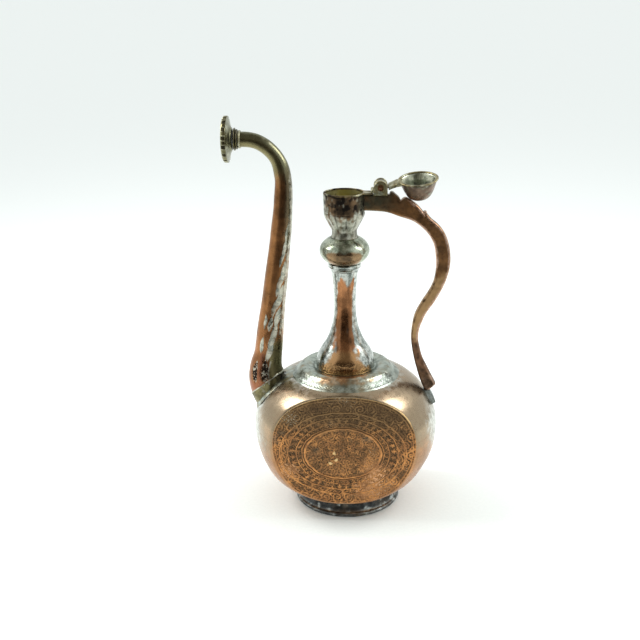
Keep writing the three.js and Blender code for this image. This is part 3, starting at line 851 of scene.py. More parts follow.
def panel_outline(count):
    """The panel's edge as angle and reach about its middle: a flat cut through the body's curve."""
    outline = inward(smooth(BODY_OUTLINE, 400), 0.4)
    wide = outline[outline[:, 0] > PANEL_FACE]
    half = np.sqrt(wide[:, 0] ** 2 - PANEL_FACE**2)
    height = wide[:, 1] - PANEL_CENTRE[1]
    angle = np.concatenate([np.arctan2(height, half), np.arctan2(height, -half)[::-1]])
    reach = np.concatenate([np.hypot(half, height), np.hypot(half, height)[::-1]])
    order = np.argsort(angle)
    around = np.linspace(-pi, pi, count, endpoint=False)
    return around, np.interp(around, angle[order], reach[order], period=TURN)


def panel(name, side, node, material, rows, columns):
    """The chased panel on the front (side -1) or the back (side 1)."""
    angle, reach = panel_outline(columns)
    share = np.linspace(0.002, 1, rows)[:, None]
    x = share * reach * np.cos(angle)
    y = share * reach * np.sin(angle)
    edge = (1 - share) * reach
    pattern, pale, out = panel_pattern(x, y, edge)
    place = np.stack([x, np.full_like(x, side * PANEL_FACE), y + PANEL_CENTRE[1]], axis=-1)
    matting = noise(place, 0.9, 31) * 0.5 + 0.5
    sunk = (1 - pattern) * (0.75 + 0.25 * matting)
    wave = noise(place, 18, 33) * 0.05 + 0.08
    depth = PANEL_FACE - 0.05 - 0.42 * sunk - wave
    depth -= 1.2 * smoothstep(1.0, 0.0, edge)
    depth[-1] = PANEL_BACK
    place[..., 1] = side * depth
    if side > 0:
        place, pattern, edge, pale, matting, out = (
            rows[:, ::-1] for rows in (place, pattern, edge, pale, matting, out)
        )
    rubbed = layered(place, 9, 35) * 0.35
    z = place[..., 2]
    inside = out < MIDDLE_END - 0.03
    # A painted highlight along the top of the panel's crease.
    crease_highlight = smoothstep(1.4, 0.7, edge) * smoothstep(88, 104, z)
    # Painted shade: darker towards the panel's top, and a little in its middle oval.
    shade = np.maximum(smoothstep(80, 106, z + 12 * rubbed) * (1 - crease_highlight), 0.1 * inside)
    grey = 0.5 * smoothstep(0.2, 0.7, layered(place, 12, 39)) * smoothstep(60, 90, z) * (1 - crease_highlight)
    ground = np.where(inside, 0.45, 0.6) + 0.4 * matting
    # The sunk ground is dark, with a little of the painted shade added.
    dark = np.clip((1 - pattern) * ground + 0.15 * shade + rubbed * 0.3, 0, 1) * (1 - crease_highlight)
    # The painted crease highlight joins the rubbed pale sprigs.
    pale = np.maximum(pale, crease_highlight)
    grid_piece(name, place, material, [node], shade=shade, dark=dark, pale=pale, grey=grey)


def panel_metal():
    """Chased copper: bright where it stands up, dark in the sunk ground, with painted shade that makes it
    browner towards its top and a painted highlight along its crease.
    """
    paint = Paint("chased_copper")
    clouds = paint.noise(9, 4.0)
    mottle = paint.noise(1.6, 4.0, 0.6)
    orange = paint.mix(paint.ramp(clouds, 0.38, 0.62), colour(160, 112, 74), colour(208, 146, 90))
    # Painted shade: browner towards the panel's top.
    orange = paint.mix(paint.number("shade"), orange, colour(142, 112, 78))
    # Rubbed pale sprigs, and the painted highlight along the crease.
    orange = paint.mix(paint.number("pale"), orange, colour(226, 192, 138))
    ground = paint.mix(paint.ramp(mottle, 0.35, 0.65), colour(76, 62, 48), colour(122, 96, 70))
    sunk = paint.ramp(paint.plus(paint.number("dark"), mottle, 0.2), 0.25, 0.8)
    base = paint.mix(sunk, orange, ground)
    grey = paint.math("MULTIPLY", paint.number("grey"), paint.ramp(mottle, 0.3, 0.6))
    base = paint.mix(grey, base, colour(128, 126, 112))
    rough = paint.ramp(sunk, 0.0, 1.0, 0.38, 0.6)
    return paint.finish(base, rough, paint.bump(mottle, 0.3, 0.25))


# ---- shoulder, neck, knop and cup ----------------------------------------------------------------
def shoulder_plate(material):
    """The plate round the neck: a groove, a ring of leaves, a hammered crest, a band of slanting cuts."""
    grid = lathe(rounded_sheet(smooth(SHOULDER_OUTLINE, 110), SHOULDER_WALL), 560)
    x, y, _ = axes(grid)
    reach = np.hypot(x, y)
    around = np.arctan2(y, x) / TURN
    slant = np.cos(TURN * (88 * around + 0.25 * np.sign(np.cos(TURN * (reach - 44) / 1.9))))
    cut = plateau(45.6, 46.2, 49, 49.8, reach) * smoothstep(0, 0.5, slant)
    leaf_ends = np.abs(np.cos(TURN * 24 * around)) * 2.2 + 29.4
    scallops = smoothstep(0.3, -0.2, reach - leaf_ends) * smoothstep(28.8, 29.2, reach)
    groove = smoothstep(1.3, 0.2, np.abs(reach - 28.3))
    crest = plateau(30.5, 34, 44, 46.5, reach)
    across = smoothstep(0.4, 0.8, aside(grid))
    hammer = noise(grid, 2.1, 41) * 0.13 * crest + noise(grid, 9, 42) * 0.1
    height = -0.14 * cut - 0.25 * groove - 0.12 * scallops + hammer - 0.2
    grid = raised(grid, height, True)
    clouds = layered(grid, 8, 43) * 0.35
    # Tin and film grow to the left and right: partly real, partly a painted reflection of the white studio.
    tin = 0.5 - 0.16 * crest + clouds + 0.5 * groove + 0.3 * across
    veil = 0.95 - 0.55 * crest + 0.5 * across + clouds
    # Painted shade on the outer slope dims the soft boxes' highlight there.
    slope = smoothstep(42, 46, reach)
    dark = 0.1 + 0.2 * cut + 0.16 * scallops + 0.2 * layered(grid, 4, 44) + 0.14 * slope
    values = {"tin": tin, "dark": dark, "veil": veil}
    grid_piece("shoulder", grid, material, ["shoulder_plate"], round_rows=True, **values)


NECK_STEPS = 200


def neck_tube(material):
    """The neck: fluted between its flare and its top, with a toothed border at its foot."""
    grid = lathe(rounded_sheet(smooth(NECK_OUTLINE, NECK_STEPS), SHEET_WALL), 256)
    x, y, z = axes(grid)
    around = np.arctan2(y, x) / TURN
    outside = np.arange(len(grid))[:, None] <= NECK_STEPS
    teeth = 141.5 + 4.5 * np.abs(np.cos(TURN * 9 * around)) ** 0.7
    border = outside * smoothstep(0.5, -0.5, z - teeth) * smoothstep(135.4, 136, z)
    sunk = border * (1 - smoothstep(-0.1, 0.3, noise(grid, 1.1, 51)))
    flutes = np.cos(TURN * 14 * around) * plateau(160, 172, 222, 230, z)
    wobble = noise(grid * (1, 1, 0.12), 2.6, 55)
    side = aside(grid) + 0.1 * wobble
    height = outside * (0.05 * flutes - 0.16 * sunk - 0.05) + noise(grid, 14, 52) * 0.06
    grid = raised(grid, height, True)
    side += 0.12 * layered(grid, 6, 53)
    above = smoothstep(150, 160, z)
    # Tin on the left and right sides: partly real tin, partly a painted reflection of the white studio.
    inner = 0.42 - 0.14 * smoothstep(186, 166, z) + 0.34 * smoothstep(149, 137, z)
    tin = smoothstep(inner, inner + 0.45, side) + 0.35 * wobble * above
    tin += smoothstep(216, 228, z + 6 * wobble)
    shadow = plateau(150, 158, 174, 184, z) * smoothstep(0.6, 0.35, side)
    seam = plateau(0.25, 0.4, 0.45, 0.62, side) * above
    dark = 0.42 * sunk + 0.22 * shadow + 0.35 * wobble * above + 0.3 * seam
    # Darker towards the left and right edges, a painted reflection at grazing angles; darker too just below
    # the ring.
    dark += 0.15 * smoothstep(0.5, 0.9, side) + 0.25 * smoothstep(222, 230, z)
    tin = np.where(outside, tin, 0.2)
    dark = np.where(outside, dark, 0.8)
    gold = 0.75 * smoothstep(160, 152, z)
    grid_piece("neck", grid, material, ["neck_tube"], round_rows=True, tin=tin, dark=dark, veil=gold)


def neck_ring(material):
    """The bright ring where the neck meets the knop."""
    grid = lathe(smooth(NECK_RING_OUTLINE, 30), 160)
    grid = raised(grid, noise(grid, 5, 60) * 0.06 - 0.08, True)
    clouds = layered(grid, 6, 61)
    tin = 1.0 + 0.4 * clouds
    dark = 0.12 + 0.3 * clouds
    grid_piece("neck_band", grid, material, ["neck_ring"], round_rows=True, tin=tin, dark=dark)


def knop_half(name, node, low, high, material):
    """The part of the knop between two heights, with a painted reflection of the dim room: a copper band,
    dark in its middle, in front and behind.
    """
    ends = [asin((height - KNOP_CENTRE) / KNOP_HALF_HEIGHT) for height in (low, high)]
    angle = np.linspace(*ends, 40)
    level = KNOP_CENTRE + KNOP_HALF_HEIGHT * np.sin(angle)
    outer = np.stack([KNOP_RADIUS * np.cos(angle), level], axis=1)
    grid = lathe(rounded_sheet(outer, SHEET_WALL, 2), 200)
    grid = raised(grid, noise(grid, 5, 71) * 0.1 + noise(grid, 2, 72) * 0.03 - 0.14, True)
    level = (grid[..., 2] - KNOP_CENTRE) / KNOP_HALF_HEIGHT
    side = aside(grid)
    # A painted reflection of the dim room: a copper band in front and behind, with tin to the left and
    # right.
    room_reflection_band = smoothstep(0.62, 0.28, np.abs(level + 0.32 + 0.15 * layered(grid, 8, 75)))
    room_reflection_band *= smoothstep(0.8, 0.55, side + 0.15 * layered(grid, 9, 73))
    tin = 0.95 - 0.95 * room_reflection_band + 0.3 * layered(grid, 5, 76)
    # The band's dark middle is painted reflection too.
    middle = smoothstep(0.3, 0.05, np.abs(level + 0.2)) * smoothstep(0.45, 0.25, side)
    dark = 0.1 + 0.35 * layered(grid, 5, 74) + 0.4 * middle
    grid_piece(name, grid, material, [node], round_rows=True, tin=tin, dark=dark, veil=0.7)


CUP_STEPS = 110


def mouth_cup(material):
    """The cup at the mouth: a waist with lobes under a plain wall, tinned outside and brassy inside."""
    round_cup = lathe(rounded_sheet(smooth(CUP_OUTLINE, CUP_STEPS), SHEET_WALL), 220)
    x, y, z = axes(round_cup)
    inside = (np.arange(len(round_cup))[:, None] > CUP_STEPS + 3) * np.ones_like(x)
    outside = 1 - inside
    facet = np.abs(np.cos(TURN * 5.5 * np.arctan2(y, x) / TURN))
    lobes = facet * plateau(264, 269, 280, 284, z)
    step = smoothstep(0.8, 0, np.abs(z - 282.5))
    height = outside * (0.55 * lobes - 0.3 * step - 0.45) + noise(round_cup, 6, 81) * 0.14
    grid = raised(round_cup, height, True)
    upper = smoothstep(277, 287, z + 5 * noise(grid * (1, 1, 0.3), 4, 78))
    pits = smoothstep(0.05, 0.45, noise(grid, 2.6, 90)) * upper * outside
    specks = smoothstep(0.2, 0.5, noise(grid * (1, 1, 0.5), 2.0, 79)) * upper * outside
    seams = smoothstep(0.4, 0.12, facet) * smoothstep(264, 269, z) * (1 - upper) * outside
    reach = np.maximum(np.hypot(x, y), 1)
    spout_side = smoothstep(-0.75, -0.98, x / reach)
    handle_side = smoothstep(0.5, 0.9, x / reach) * upper
    # A painted reflection of the dim room: darker on the front of the upper wall.
    front = smoothstep(0.45, 0.1, np.abs(x + 3) / reach) * (y < 0) * upper
    streak = noise(grid * (1, 1, 0.3), 2.5, 89)
    tin = 0.8 - 0.66 * upper * (1 - 0.8 * spout_side) + 0.5 * layered(grid, 7, 82)
    tin += 0.35 * streak - 0.3 * handle_side + 0.5 * specks
    dark = 0.14 + 0.22 * upper * (1 - spout_side) + 0.22 * front + 0.35 * seams
    dark += 0.5 * layered(grid, 5, 83) + 0.45 * pits - 0.15 * specks
    # Inside: stains at random, and painted shade that darkens the wall towards the spout side and deeper
    # down.
    depths = 0.55 * smoothstep(-2, -12, x) + 0.5 * smoothstep(0.2, 0.5, layered(grid, 7, 84))
    depths += 0.8 * smoothstep(284, 272, z)
    values = {
        "tin": np.where(inside > 0, 0.25, tin),
        "dark": np.where(inside > 0, depths, dark),
        "veil": np.where(inside > 0, 1.2, 0),
        "green": 0.9 * handle_side * outside,
    }
    grid_piece("cup", grid, material, ["mouth_cup"], round_rows=True, **values)


def mouth_rim(material):
    """The flat rim, with the tab that reaches the hinge and the curl at the tab's end."""
    angle = np.linspace(0, TURN, 300, endpoint=False)
    end = TAB_END / np.maximum(np.cos(angle), 0.05)
    flank = TAB_HALF_WIDTH / np.maximum(np.abs(np.sin(angle)), 1e-3)
    tab = np.maximum(RIM_RADIUS, np.minimum(end, flank))
    outer = np.where(np.cos(angle) > 0, tab, RIM_RADIUS)
    rows = []
    for share, level in RIM_SECTION:
        reach = RIM_BORE + share * (outer - RIM_BORE)
        row = [reach * np.cos(angle), reach * np.sin(angle), np.full_like(angle, level)]
        rows.append(np.stack(row, axis=1))
    grid = np.stack(rows)
    grid[..., 2] += 0.12 * noise(grid * (1, 1, 0), 7, 85) - 0.08
    tin = 0.3 + 0.8 * layered(grid, 5, 86)
    dark = 0.4 + 0.25 * smoothstep(5, -12, grid[..., 0]) + 0.8 * layered(grid, 3, 87)
    grid_piece("rim", grid, material, ["mouth_rim"], round_rows=True, tin=tin, dark=dark, veil=0.4)
    curl = bar_along_y(drum(1.7, 0.5, 5.2), 40) + np.array([25.3, 0, 301.7])
    stains = 0.3 + 0.5 * layered(curl, 3, 88)
    grid_piece("tab_curl", curl, material, [], round_rows=True, tin=0.6, dark=stains, veil=0.2)


# ---- spout ---------------------------------------------------------------------------------------
def spout_frames(count):
    """The share along, the centre and the forward direction at equal steps along the spout."""
    dense = smooth(SPOUT_LINE, 1300)
    share = np.linspace(0, 1, count)
    centre = places_along(dense, share)
    along = np.gradient(centre, axis=0)
    along /= np.linalg.norm(along, axis=1, keepdims=True)
    return share, centre, along


def spout_radius(share):
    """The spout's radius at shares of its length."""
    at, radius = np.array(SPOUT_RADII, float).T
    index = np.clip(np.searchsorted(at, share, side="left"), 1, len(at) - 1)
    t = smoothstep(at[index - 1], at[index], share)
    return radius[index - 1] + (radius[index] - radius[index - 1]) * t


# The pale flames left on the spout: run along it, bearing, half length and half width.
SPOUT_FLAMES = [
    (172, 50, 12, 1.6), (155, 60, 12, 2.2), (146, 71, 8, 1.4), (133, 54, 12, 2.6), (121, 72, 11, 2.3),
    (110, 58, 12, 2.8), (99, 78, 10, 2.2), (90, 58, 11, 2.8), (74, 66, 13, 2.8),
    (57, 84, 10, 2.0), (62, 76, 9, 2.4), (84, 88, 8, 2.4),
]


def spout_skin():
    """The plain round spout, and at its points the radius, the way along in millimetres and the bearing:
    0 degrees towards the jug and 180 away from it, a little wavy as hand work is."""
    share, centre, along = spout_frames(560)
    keep = share > 0.03
    share, centre, along = share[keep], centre[keep], along[keep]
    radius = spout_radius(share)[:, None]
    turn = np.linspace(-pi, pi, 180, endpoint=False)
    outward = np.stack([along[:, 1], -along[:, 0]], axis=1)
    x = centre[:, :1] + outward[:, :1] * radius * np.cos(turn)
    z = centre[:, 1:] + outward[:, 1:] * radius * np.cos(turn)
    grid = np.stack([x, radius * np.sin(turn), z], axis=-1)
    run = share[:, None] * SPOUT_LENGTH + np.zeros_like(x)
    bearing = np.abs(np.degrees(turn)) + 5 * noise(grid, 8, 95)
    return grid, radius, run, bearing


def spout_tube(material):
    """The curved spout, with its engraved leaves and lozenges and the tin flames left along its side."""
    grid, radius, run, bearing = spout_skin()
    arc = np.radians(bearing) * radius

    def oval(middle, bearing_at, length, width, lean=0.0):
        """1 inside a pointed oval on the spout; `lean` is how far it drifts per millimetre along."""
        beside = arc - np.radians(bearing_at) * radius - lean * (run - middle)
        reach = np.clip(np.abs(run - middle) / length, 0, 1)
        return smoothstep(0.35, -0.35, np.abs(beside) - width * (1 - reach**2)) * (reach < 1)

    carved = np.maximum(oval(34.5, 128, 11, 3.4), oval(36, 90, 13, 3.6))
    grain = smoothstep(-0.1, 0.25, noise(grid, 1.2, 96))
    flames = np.maximum.reduce([oval(*flame, -0.12) for flame in SPOUT_FLAMES])
    lozenges = np.maximum(oval(85, 114, 8, 1.6), oval(62, 115, 9, 2.2))
    strip = oval(64, 77, 18, 2.4, -0.05)
    leaf_edge = line(arc - (np.radians(77) * radius) + 0.012 * (run - 34) ** 2, 0.7)
    leaf_edge *= plateau(22, 26, 46, 50, run)
    upper_arm = line((run - 78) - (100 - bearing) * 0.35, 1.8)
    lower_arm = line((run - 66) - (bearing - 100) * 0.5, 1.8)
    chevron = np.maximum(upper_arm, lower_arm) * plateau(66, 72, 112, 120, bearing)
    rim_run = 17 + 0.14 * (156 - np.clip(bearing, 40, 180))
    collar = smoothstep(0.4, -0.4, run - rim_run)
    rim_line = smoothstep(1.1, 0.5, np.abs(run - rim_run))
    rib = smoothstep(2.8, 1.4, np.abs(arc - np.radians(109) * radius)) * smoothstep(58, 50, run)
    rib = np.maximum(rib, smoothstep(30, 24, run) * smoothstep(80, 90, bearing)) * (1 - collar)
    olive = smoothstep(76, 70, bearing) * smoothstep(76, 54, run)
    olive = np.maximum.reduce([olive, 0.85 * smoothstep(205, 240, run), collar])

    dents = noise(grid, 18, 91) * 0.25 + noise(grid, 6, 92) * 0.05 - 0.12
    relief = 0.12 * (flames + lozenges + chevron) + 0.5 * rim_line + 0.2 * collar
    relief -= 0.25 * carved * (1 - grain)
    grid = raised(grid, dents + relief)
    patch = layered(grid, 5, 93)
    tin = 0.7 * smoothstep(58, 36, bearing) * smoothstep(56, 78, run)
    tin *= 1 - 0.6 * smoothstep(205, 235, run)
    tin += 0.25 * patch - 0.1 + 0.5 * collar * smoothstep(0.1, 0.5, layered(grid, 6, 89))
    pale = np.maximum.reduce([
        flames * (0.8 + 0.5 * patch), strip * (0.9 + 0.4 * patch), leaf_edge, lozenges * 0.8, rim_line,
        0.75 * carved * grain,
    ])
    tin = np.maximum(tin, pale) * (1 - 0.8 * rib)
    dark = 0.14 + 0.25 * np.maximum(layered(grid, 9, 94), 0) + 0.8 * carved * (1 - grain)
    # A painted reflection of the dim room: darker down the middle of the upper spout, in front and behind.
    dark += 0.25 * plateau(60, 80, 100, 120, bearing) * smoothstep(80, 120, run)
    dark += 0.5 * smoothstep(48, 30, run) * smoothstep(65, 45, bearing)
    dark += 0.12 * smoothstep(130, 160, bearing)
    dark += 0.3 * collar * smoothstep(-0.2, 0.4, layered(grid, 4, 90))
    dark = dark * (1 - 0.8 * np.maximum.reduce([rib, chevron, rim_line]))
    root_red = 0.2 * smoothstep(100, 50, run) * smoothstep(70, 80, bearing) * (1 - collar)
    red = np.maximum(0.8 * rib, root_red)
    grey = 0.6 * smoothstep(84, 60, bearing) * smoothstep(140, 170, run)
    nodes = ["spout_lower", "spout_upper", "spout_bend"]
    grid_piece("spout", grid, material, nodes, tin=tin, dark=dark, veil=olive * 1.2, red=red, green=grey)


def on_spout_end(grid):
    """Puts a grid that is turned round Z on the spout's level end, pointing out of it."""
    x, y, z = axes(grid)
    return np.stack([-z, y, x + SPOUT_AXIS_Z], axis=-1)


def spout_piece(name, node, outline, material, tin, dark):
    """A turned collar on the spout's end."""
    grid = on_spout_end(lathe(outline, 96))
    clouds = 0.3 * layered(grid, 4, 97)
    grid_piece(name, grid, material, [node], round_rows=True, tin=tin + clouds, dark=dark + clouds)


def rosette(material):
    """The disc at the spout's mouth, with notches between its petals and painted highlights along the
    notches' edges.
    """
    grid = lathe(smooth(ROSETTE_PROFILE, 150), 512)
    x, y, out = axes(grid)
    reach = np.hypot(x, y)
    phase = (np.arctan2(y, x) / TURN * PETALS) % 1
    rim = plateau(3.9, 4.7, 8.0, 8.8, out)
    notch = smoothstep(0.27, 0.19, np.abs(phase - 0.5)) * rim
    # Painted highlights: pale lines along both edges of each notch.
    edges = smoothstep(0.05, 0.02, np.abs(np.abs(phase - 0.5) - 0.26)) * rim
    front_line = smoothstep(0.6, 0.2, np.abs(out - 9.2))
    back = smoothstep(4.2, 3.6, out)
    front = smoothstep(9.4, 9.8, out)
    grid = raised(grid, -0.55 - 0.7 * notch + 0.3 * edges + 0.15 * front_line)
    grid = on_spout_end(grid + (0, 0, SPOUT_TIP + 4.4))
    clouds = layered(grid, 4, 98)
    tin = 0.12 + 0.9 * edges + 0.3 * back * smoothstep(11, 14, reach) + 0.6 * front_line + 0.35 * clouds
    dark = 0.32 + 0.35 * notch - 0.4 * edges - 0.15 * back + 0.2 * front + 0.3 * layered(grid, 3, 99)
    grid_piece("rosette", grid, material, ["spout_rosette"], tin=tin, dark=dark, veil=0.5 + 0.4 * back)


def spout_collars(materials):
    """The plain inner collar and the beaded outer one, behind the rosette."""
    face = smooth([(7.5, -2), (8, -1), (7.5, 0)], 12)
    inner = np.concatenate([face, [(6.95, 0), (6.95, -2)]]) + (0, SPOUT_TIP)
    spout_piece("collar_inner", "spout_collar_inner", inner, materials["cream_rim"], 0.6, 0.25)
    outer = np.concatenate([smooth(COLLAR_PROFILE, 50), [(4, 0.65)]]) + (0, SPOUT_TIP)
    spout_piece("collar_outer", "spout_collar_outer", outer, materials["olive_patina"], 0.3, 0.5)


def spout_saddle(material):
    """The flange round the spout's root: a ring of points pressed onto the body's skin."""
    angle = np.linspace(0, TURN, 220, endpoint=False)[None, :]
    lift = np.linspace(0, 1, 12)[:, None]
    spread = 15.6 + 6.4 * lift
    lateral = spread * np.sin(angle)
    z = 112 + spread * np.cos(angle) * 0.92
    reach = body_radius(z) + 0.1 + 1.5 * np.sin(pi * (0.35 + 0.65 * lift)) + 0.2 * np.cos(7 * angle)
    x = -np.sqrt(np.maximum(reach**2 - lateral**2, 0))
    grid = np.stack([x, lateral, z], axis=-1)
    grid = grid + noise(grid, 4, 103)[..., None] * 0.15
    patches = layered(grid, 6, 101)
    dark = 0.2 + 0.7 * layered(grid, 4, 102)
    grid_piece("saddle", grid, material, ["spout_saddle"], tin=0.4 + 0.9 * patches, dark=dark, veil=0.8)


# ---- handle ----------------------------------------------------------------------------------------
def stations(points, targets):
    """HANDLE_STATIONS points along an edge, spaced so that they reach the targets at HANDLE_SHARES."""
    run = run_along(points)
    found = [run[np.argmin(np.linalg.norm(points - target, axis=1))] / run[-1] for target in targets]
    found[0], found[-1] = 0, 1
    share = np.interp(np.linspace(0, 1, HANDLE_STATIONS), HANDLE_SHARES, found)
    return places_along(points, share)


def bar_section(outer, inner, thickness, corner, turns=5, faces=7):
    """A rounded rectangle between an outer and an inner edge at each station: rows of sections."""
    half = thickness / 2
    reach = outer - inner
    depth = np.linalg.norm(reach, axis=1, keepdims=True)
    direction = reach / np.maximum(depth, 1e-6)
    round_off = np.minimum(corner, depth * 0.45)
    loop = []
    for quarter, (outside, side) in enumerate(((1, -1), (1, 1), (0, 1), (0, -1))):
        for a in np.linspace(quarter - 1, quarter, turns) * pi / 2:
            along = (depth - round_off if outside else round_off) + round_off * cos(a)
            across = side * (half - corner) + corner * sin(a)
            loop.append(np.concatenate([inner + direction * along, np.full_like(depth, across)], axis=1))
        if quarter % 2:
            start = loop[-1]
            end_along = round_off if outside else depth - round_off
            end = np.concatenate([inner + direction * end_along, start[:, 2:]], axis=1)
            loop += [start + (end - start) * k / faces for k in range(1, faces)]
    section = np.stack(loop, axis=1)
    return section[..., [0, 2, 1]]


def handle_edges():
    """The handle's outer and inner edges, at stations that pair up."""
    head = [(17.6, 298.05), (40.6, 298.05)]
    runs = [smooth(run, 10 * len(run)) for run in HANDLE_OUTER]
    outer = np.concatenate([head, *runs, [(79.7, 111.7)]])
    inner = smooth(HANDLE_INNER, 300)
    return stations(outer, HANDLE_OUTER_PAIRS), stations(inner, HANDLE_INNER_PAIRS)


def handle_bar(material):
    """The flat S-shaped bar, with painted highlights along its outer bevel and upper inner edge, a mossy
    head and a burnt foot.
    """
    edges = handle_edges()
    section = bar_section(*edges, HANDLE_THICKNESS - 0.05, 1.5)
    middles = [section[end].mean(axis=0) for end in (0, -1)]
    caps = [middle + (section[end] - middle) * 0.001 for middle, end in zip(middles, (0, -1))]
    section = np.concatenate([caps[:1], section, caps[1:]])[:, ::-1]
    grid = raised(section, noise(section, 8, 111) * 0.1 + noise(section, 3, 112) * 0.05 - 0.1)
    x, _, z = axes(grid)
    from_outer, from_inner = (
        np.hypot(x - edge[:, None, 0], z - edge[:, None, 1])
        for edge in (np.concatenate([whole[:1], whole, whole[-1:]]) for whole in edges)
    )
    # Painted highlights along the outer bevel and, higher up, the inner edge.
    bevel = plateau(0.2, 0.9, 1.8, 2.9, from_outer)
    inner_bevel_highlight = smoothstep(2.4, 1.3, from_inner) * smoothstep(48, 60, x) * smoothstep(222, 240, z)
    low_edge = smoothstep(2.2, 1.2, from_inner) * smoothstep(236, 222, z)
    head = smoothstep(58, 26, x + 14 * layered(grid, 8, 116) - 0.5 * (z - 290)) * smoothstep(270, 280, z)
    foot = smoothstep(170, 156, z + 8 * layered(grid, 5, 117))
    burnt = smoothstep(142, 118, z + 12 * layered(grid, 4, 121))
    gold = smoothstep(232, 214, z + 8 * layered(grid, 7, 122)) * (1 - foot)
    tin = 0.05 + bevel * smoothstep(50, 62, x) + inner_bevel_highlight + 0.3 * layered(grid, 9, 113)
    tin += 0.3 * foot * smoothstep(0.2, 0.6, layered(grid, 3, 118))
    tin = tin * (1 - 0.7 * head) * (1 - 0.6 * foot) + 0.3 * burnt
    dark = 0.2 + 0.08 * head + 0.2 * foot + 0.06 * burnt + 0.45 * layered(grid, 4, 114)
    dark += 0.35 * low_edge * (1 - foot) - 0.12 * gold
    # The painted highlights also lift the dark.
    dark -= (0.35 * bevel + 0.3 * inner_bevel_highlight) * (1 - 0.7 * foot)
    moss = head * np.clip(0.75 + 0.6 * layered(grid, 5, 119), 0, 1)
    green = np.maximum(moss, 0.3 * foot + 0.15 * burnt)
    values = {"tin": tin, "dark": dark, "green": green, "red": 0.6 * foot, "veil": gold}
    grid_piece("handle", grid, material, ["handle_bar"], **values)


def handle_nib(material):
    """The small rolled nib in the notch of the handle's outer edge."""
    grid = bar_along_y(drum(1.7, 0.4, 3.9), 40, 0) + np.array([72.0, 0, 281.0])
    dark = 0.2 + 0.4 * layered(grid, 2, 120)
    grid_piece("handle_nib", grid, material, [], round_rows=True, tin=0.5, dark=dark)


def leaf(material):
    """The leaf that joins the handle's foot to the body."""
    grid = slab(LEAF_OUTLINE, -3.45, 3.45, 0.8)
    dark = 0.4 * noise(grid, 2, 115)
    grid_piece("handle_tip", grid, material, ["handle_leaf"], tin=0.6, dark=dark, veil=0.95)


# ---- hinge and lid ---------------------------------------------------------------------------------
def hinge_point(points):
    """Points about the hinge's centre, put in their place on the jug."""
    return np.asarray(points) + np.array(HINGE)


def opened(points):
    """Points of the shut lid about the hinge's centre, with the lid thrown back, on the jug."""
    turn = Matrix.Rotation(LID_OPENING, 3, Vector((0, cos(HINGE_TILT), sin(HINGE_TILT))))
    return hinge_point(np.asarray(points) @ np.array(turn).T)


def bar_along_y(profile, columns, tilt=HINGE_TILT):
    """A closed turned piece along Y, from rows of (radius, y); it leans with the pin."""
    grid = lathe(profile, columns)
    x, y, z = axes(grid)
    level = np.stack([x, z, -y], axis=-1)
    lean = np.array(Matrix.Rotation(tilt, 3, "X"))
    return level @ lean.T


def drum(radius, bore, half, edge=0.5, steps=4):
    """The closed outline of a barrel with a bore and rounded ends: rows of (radius, place along)."""
    arc = np.linspace(0, pi / 2, steps)
    low = [(radius - edge + edge * sin(a), -half + edge - edge * cos(a)) for a in arc]
    high = [(radius - edge + edge * cos(a), half - edge + edge * sin(a)) for a in arc]
    return np.array([(bore, -half), *low, *high, (bore, half)])


def hinge_pin(material):
    """The copper pin, with its ends a little rounded."""
    ends = smooth([(1.2, -PIN_HALF_LENGTH), (PIN_RADIUS, -9), (PIN_RADIUS, 9), (1.2, PIN_HALF_LENGTH)], 24)
    profile = np.concatenate([[(0.02, -PIN_HALF_LENGTH)], ends, [(0.02, PIN_HALF_LENGTH)]])
    grid = hinge_point(bar_along_y(profile, 48))
    grid_piece("pin", grid, material, ["hinge_pin"], tin=0.0, dark=0.35 + 0.4 * layered(grid, 1.5, 123))


def ear(name, nodes, low, high, material):
    """One ear of the hinge's bracket, with a dark ring round the pin."""
    turn = np.linspace(-0.1, pi + 0.1, 40)
    outline = [(EAR_RADIUS * cos(a), EAR_RADIUS * sin(a)) for a in turn]
    outline += [(-EAR_RADIUS, -6.9), (EAR_RADIUS, -6.9)]
    grid = hinge_point(slab(outline, low, high, 0.7))
    grid = grid + noise(grid, 3, 124)[..., None] * 0.08
    from_pin = np.hypot(grid[..., 0] - HINGE[0], grid[..., 2] - HINGE[2])
    groove = smoothstep(0.9, 0.3, np.abs(from_pin - 4.3))
    core = smoothstep(3.2, 2.4, from_pin)
    shine = smoothstep(-0.1, 0.5, layered(grid, 4, 125)) * (1 - core)
    tin = 0.35 + 0.7 * shine - 0.4 * core
    dark = 0.04 + 0.4 * groove + 0.4 * core + 0.4 * layered(grid, 2.5, 126)
    grid_piece(name, grid, material, nodes, tin=tin, dark=dark, veil=core)


def hinge_pieces(materials):
    """The pin and the bracket on the rim's tab, and the lid's knuckle on the pin."""
    grid = opened(bar_along_y(drum(KNUCKLE_RADIUS, 1.9, KNUCKLE_HALF_LENGTH), 96))
    tin = 0.45 + 0.5 * layered(grid, 3, 121)
    dark = 0.25 + 0.4 * layered(grid, 2, 122)
    grid_piece("knuckle", grid, materials["olive_patina"], ["lid_knuckle"], "lid", True, tin=tin, dark=dark)
    hinge_pin(materials["pin_copper"])
    ear("ear_front", ["hinge_bracket"], -EAR_OUTER, -EAR_INNER, materials["cream_rim"])
    ear("ear_back", [], EAR_INNER, EAR_OUTER, materials["cream_rim"])
    seat = [(-EAR_RADIUS, -6.95), (EAR_RADIUS, -6.95), (EAR_RADIUS, -6.2), (-EAR_RADIUS, -6.2)]
    plate = hinge_point(slab(seat, -7.9, 7.9, 0.25))
    grid_piece("hinge_seat", plate, materials["olive_patina"], [], tin=0.4, dark=0.4, veil=0.4)


